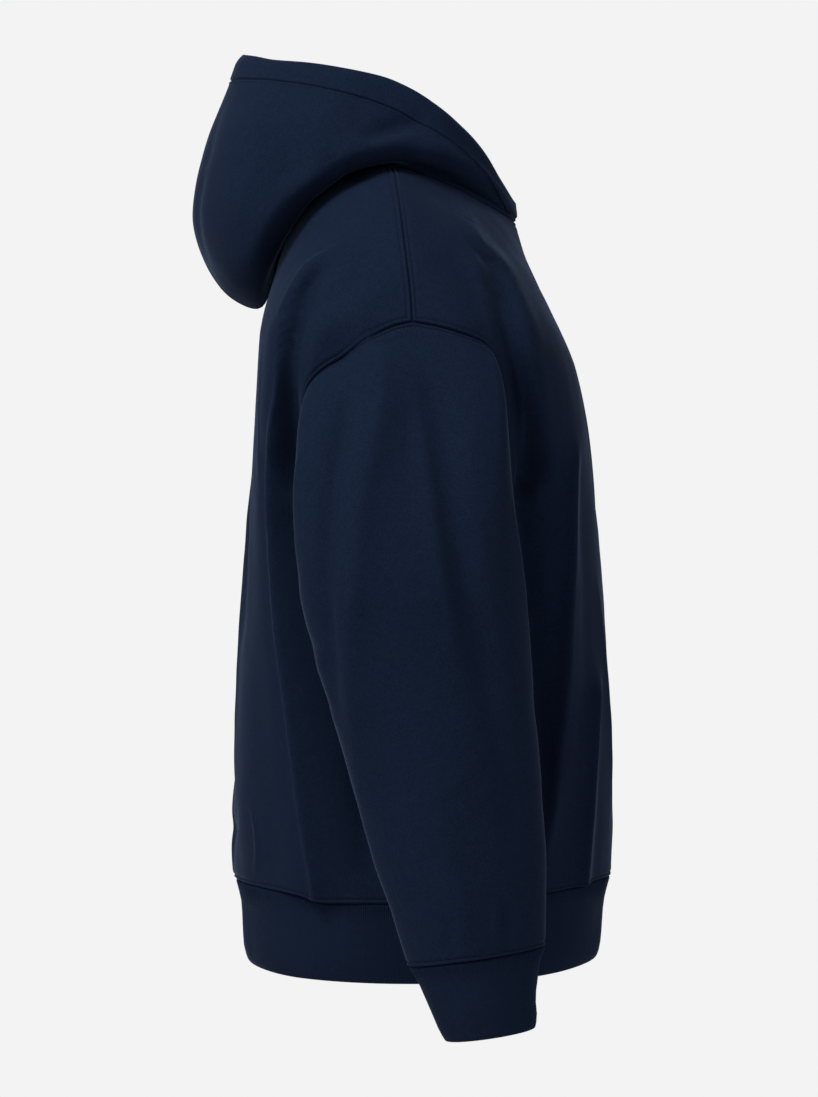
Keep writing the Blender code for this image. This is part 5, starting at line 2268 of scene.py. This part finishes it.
# ----- Studio -----


@dataclass(frozen=True)
class StudioSizes:
    """Camera, surround and floor of the studio."""

    camera: Triple = (-4.2, -0.015, -0.348)
    lens: float = 98.8
    sensor: float = 24.0
    surround: float = 0.896
    floor_z: float = -1.45
    floor_radius: float = 3.2
    floor_rings: int = 4
    floor_sides: int = 96


@dataclass(frozen=True)
class Softbox:
    """Square area light aimed at a point."""

    name: str
    place: Triple
    aim: Triple
    size: float
    power: float

    def add(self) -> None:
        """Puts the light in the scene."""
        data = bpy.data.lights.new(self.name, "AREA")
        data.shape = "SQUARE"
        data.size = self.size
        data.energy = self.power
        light = bpy.data.objects.new(self.name, data)
        light.location = self.place
        way = np.array(self.aim) - np.array(self.place)
        flat = math.hypot(way[0], way[1])
        light.rotation_euler = (math.atan2(flat, -way[2]), 0.0, math.atan2(-way[0], way[1]))
        bpy.context.scene.collection.objects.link(light)


@dataclass
class Studio:
    """Plain pale studio round the garment."""

    sizes: StudioSizes
    key: Softbox = Softbox("key", (-1.8, 1.8, 2.35), (0, 0, -0.2), 1.6, 205)

    def build(self) -> None:
        """Adds surround, floor, light and camera."""
        world = bpy.data.worlds.new("surround")
        bpy.context.scene.world = world
        world.use_nodes = True
        back = world.node_tree.nodes["Background"]
        level = self.sizes.surround
        back.inputs["Color"].default_value = (level, level, level, 1)
        back.inputs["Strength"].default_value = 1.0
        bpy.context.scene.view_settings.view_transform = "Standard"
        self.floor()
        self.key.add()
        self.camera()

    def floor(self) -> None:
        """Round pale floor at the wearer's feet."""
        sizes = self.sizes
        count, sides = sizes.floor_rings, sizes.floor_sides
        turn = np.arange(sides) * 2 * math.pi / sides
        radius = sizes.floor_radius * np.arange(1, count + 1)[:, None] / count
        height = np.full((count, sides), sizes.floor_z)
        rings = np.stack([radius * np.cos(turn), radius * np.sin(turn), height], -1)
        index = 1 + np.arange(count * sides).reshape(count, sides)
        tris = np.stack([np.zeros(sides, int), index[0], np.roll(index[0], -1)], -1)
        verts = np.concatenate([[[0, 0, sizes.floor_z]], rings.reshape(-1, 3)])
        mesh = mesh_from("floor", verts, grid_quads(index, True, True), tris)
        nodes = Nodes("pale_floor")
        tone = nodes.mix(nodes.noise(0.4, 2), (0.80, 0.80, 0.80, 1), (0.84, 0.84, 0.84, 1))
        nodes.surface(Base_Color=tone, Roughness=0.9)
        add_object("floor", mesh, nodes.material)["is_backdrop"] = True

    def camera(self) -> None:
        """Camera level with the middle of the garment, looking along +X."""
        data = bpy.data.cameras.new("camera")
        data.sensor_fit = "VERTICAL"
        data.sensor_height = self.sizes.sensor
        data.lens = self.sizes.lens
        data.clip_end = 100
        camera = bpy.data.objects.new("camera", data)
        camera.location = self.sizes.camera
        camera.rotation_euler = (math.pi / 2, 0, -math.pi / 2)
        bpy.context.scene.collection.objects.link(camera)
        bpy.context.scene.camera = camera


def corners(box: tuple) -> list[list[float]]:
    """Box as plain lists."""
    return [[float(v) for v in corner] for corner in box]


def main() -> None:
    """Builds the dressed garment and its studio."""
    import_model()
    cad = corners(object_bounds())
    Hoodie().build()
    LOG.info("garment built")
    Studio(StudioSizes()).build()
    visual = corners(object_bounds())
    LOG.info("CAD %s, visual %s", cad, visual)


if __name__ == "__main__":
    logging.basicConfig(level=logging.INFO, format="%(name)s: %(message)s")
    main()
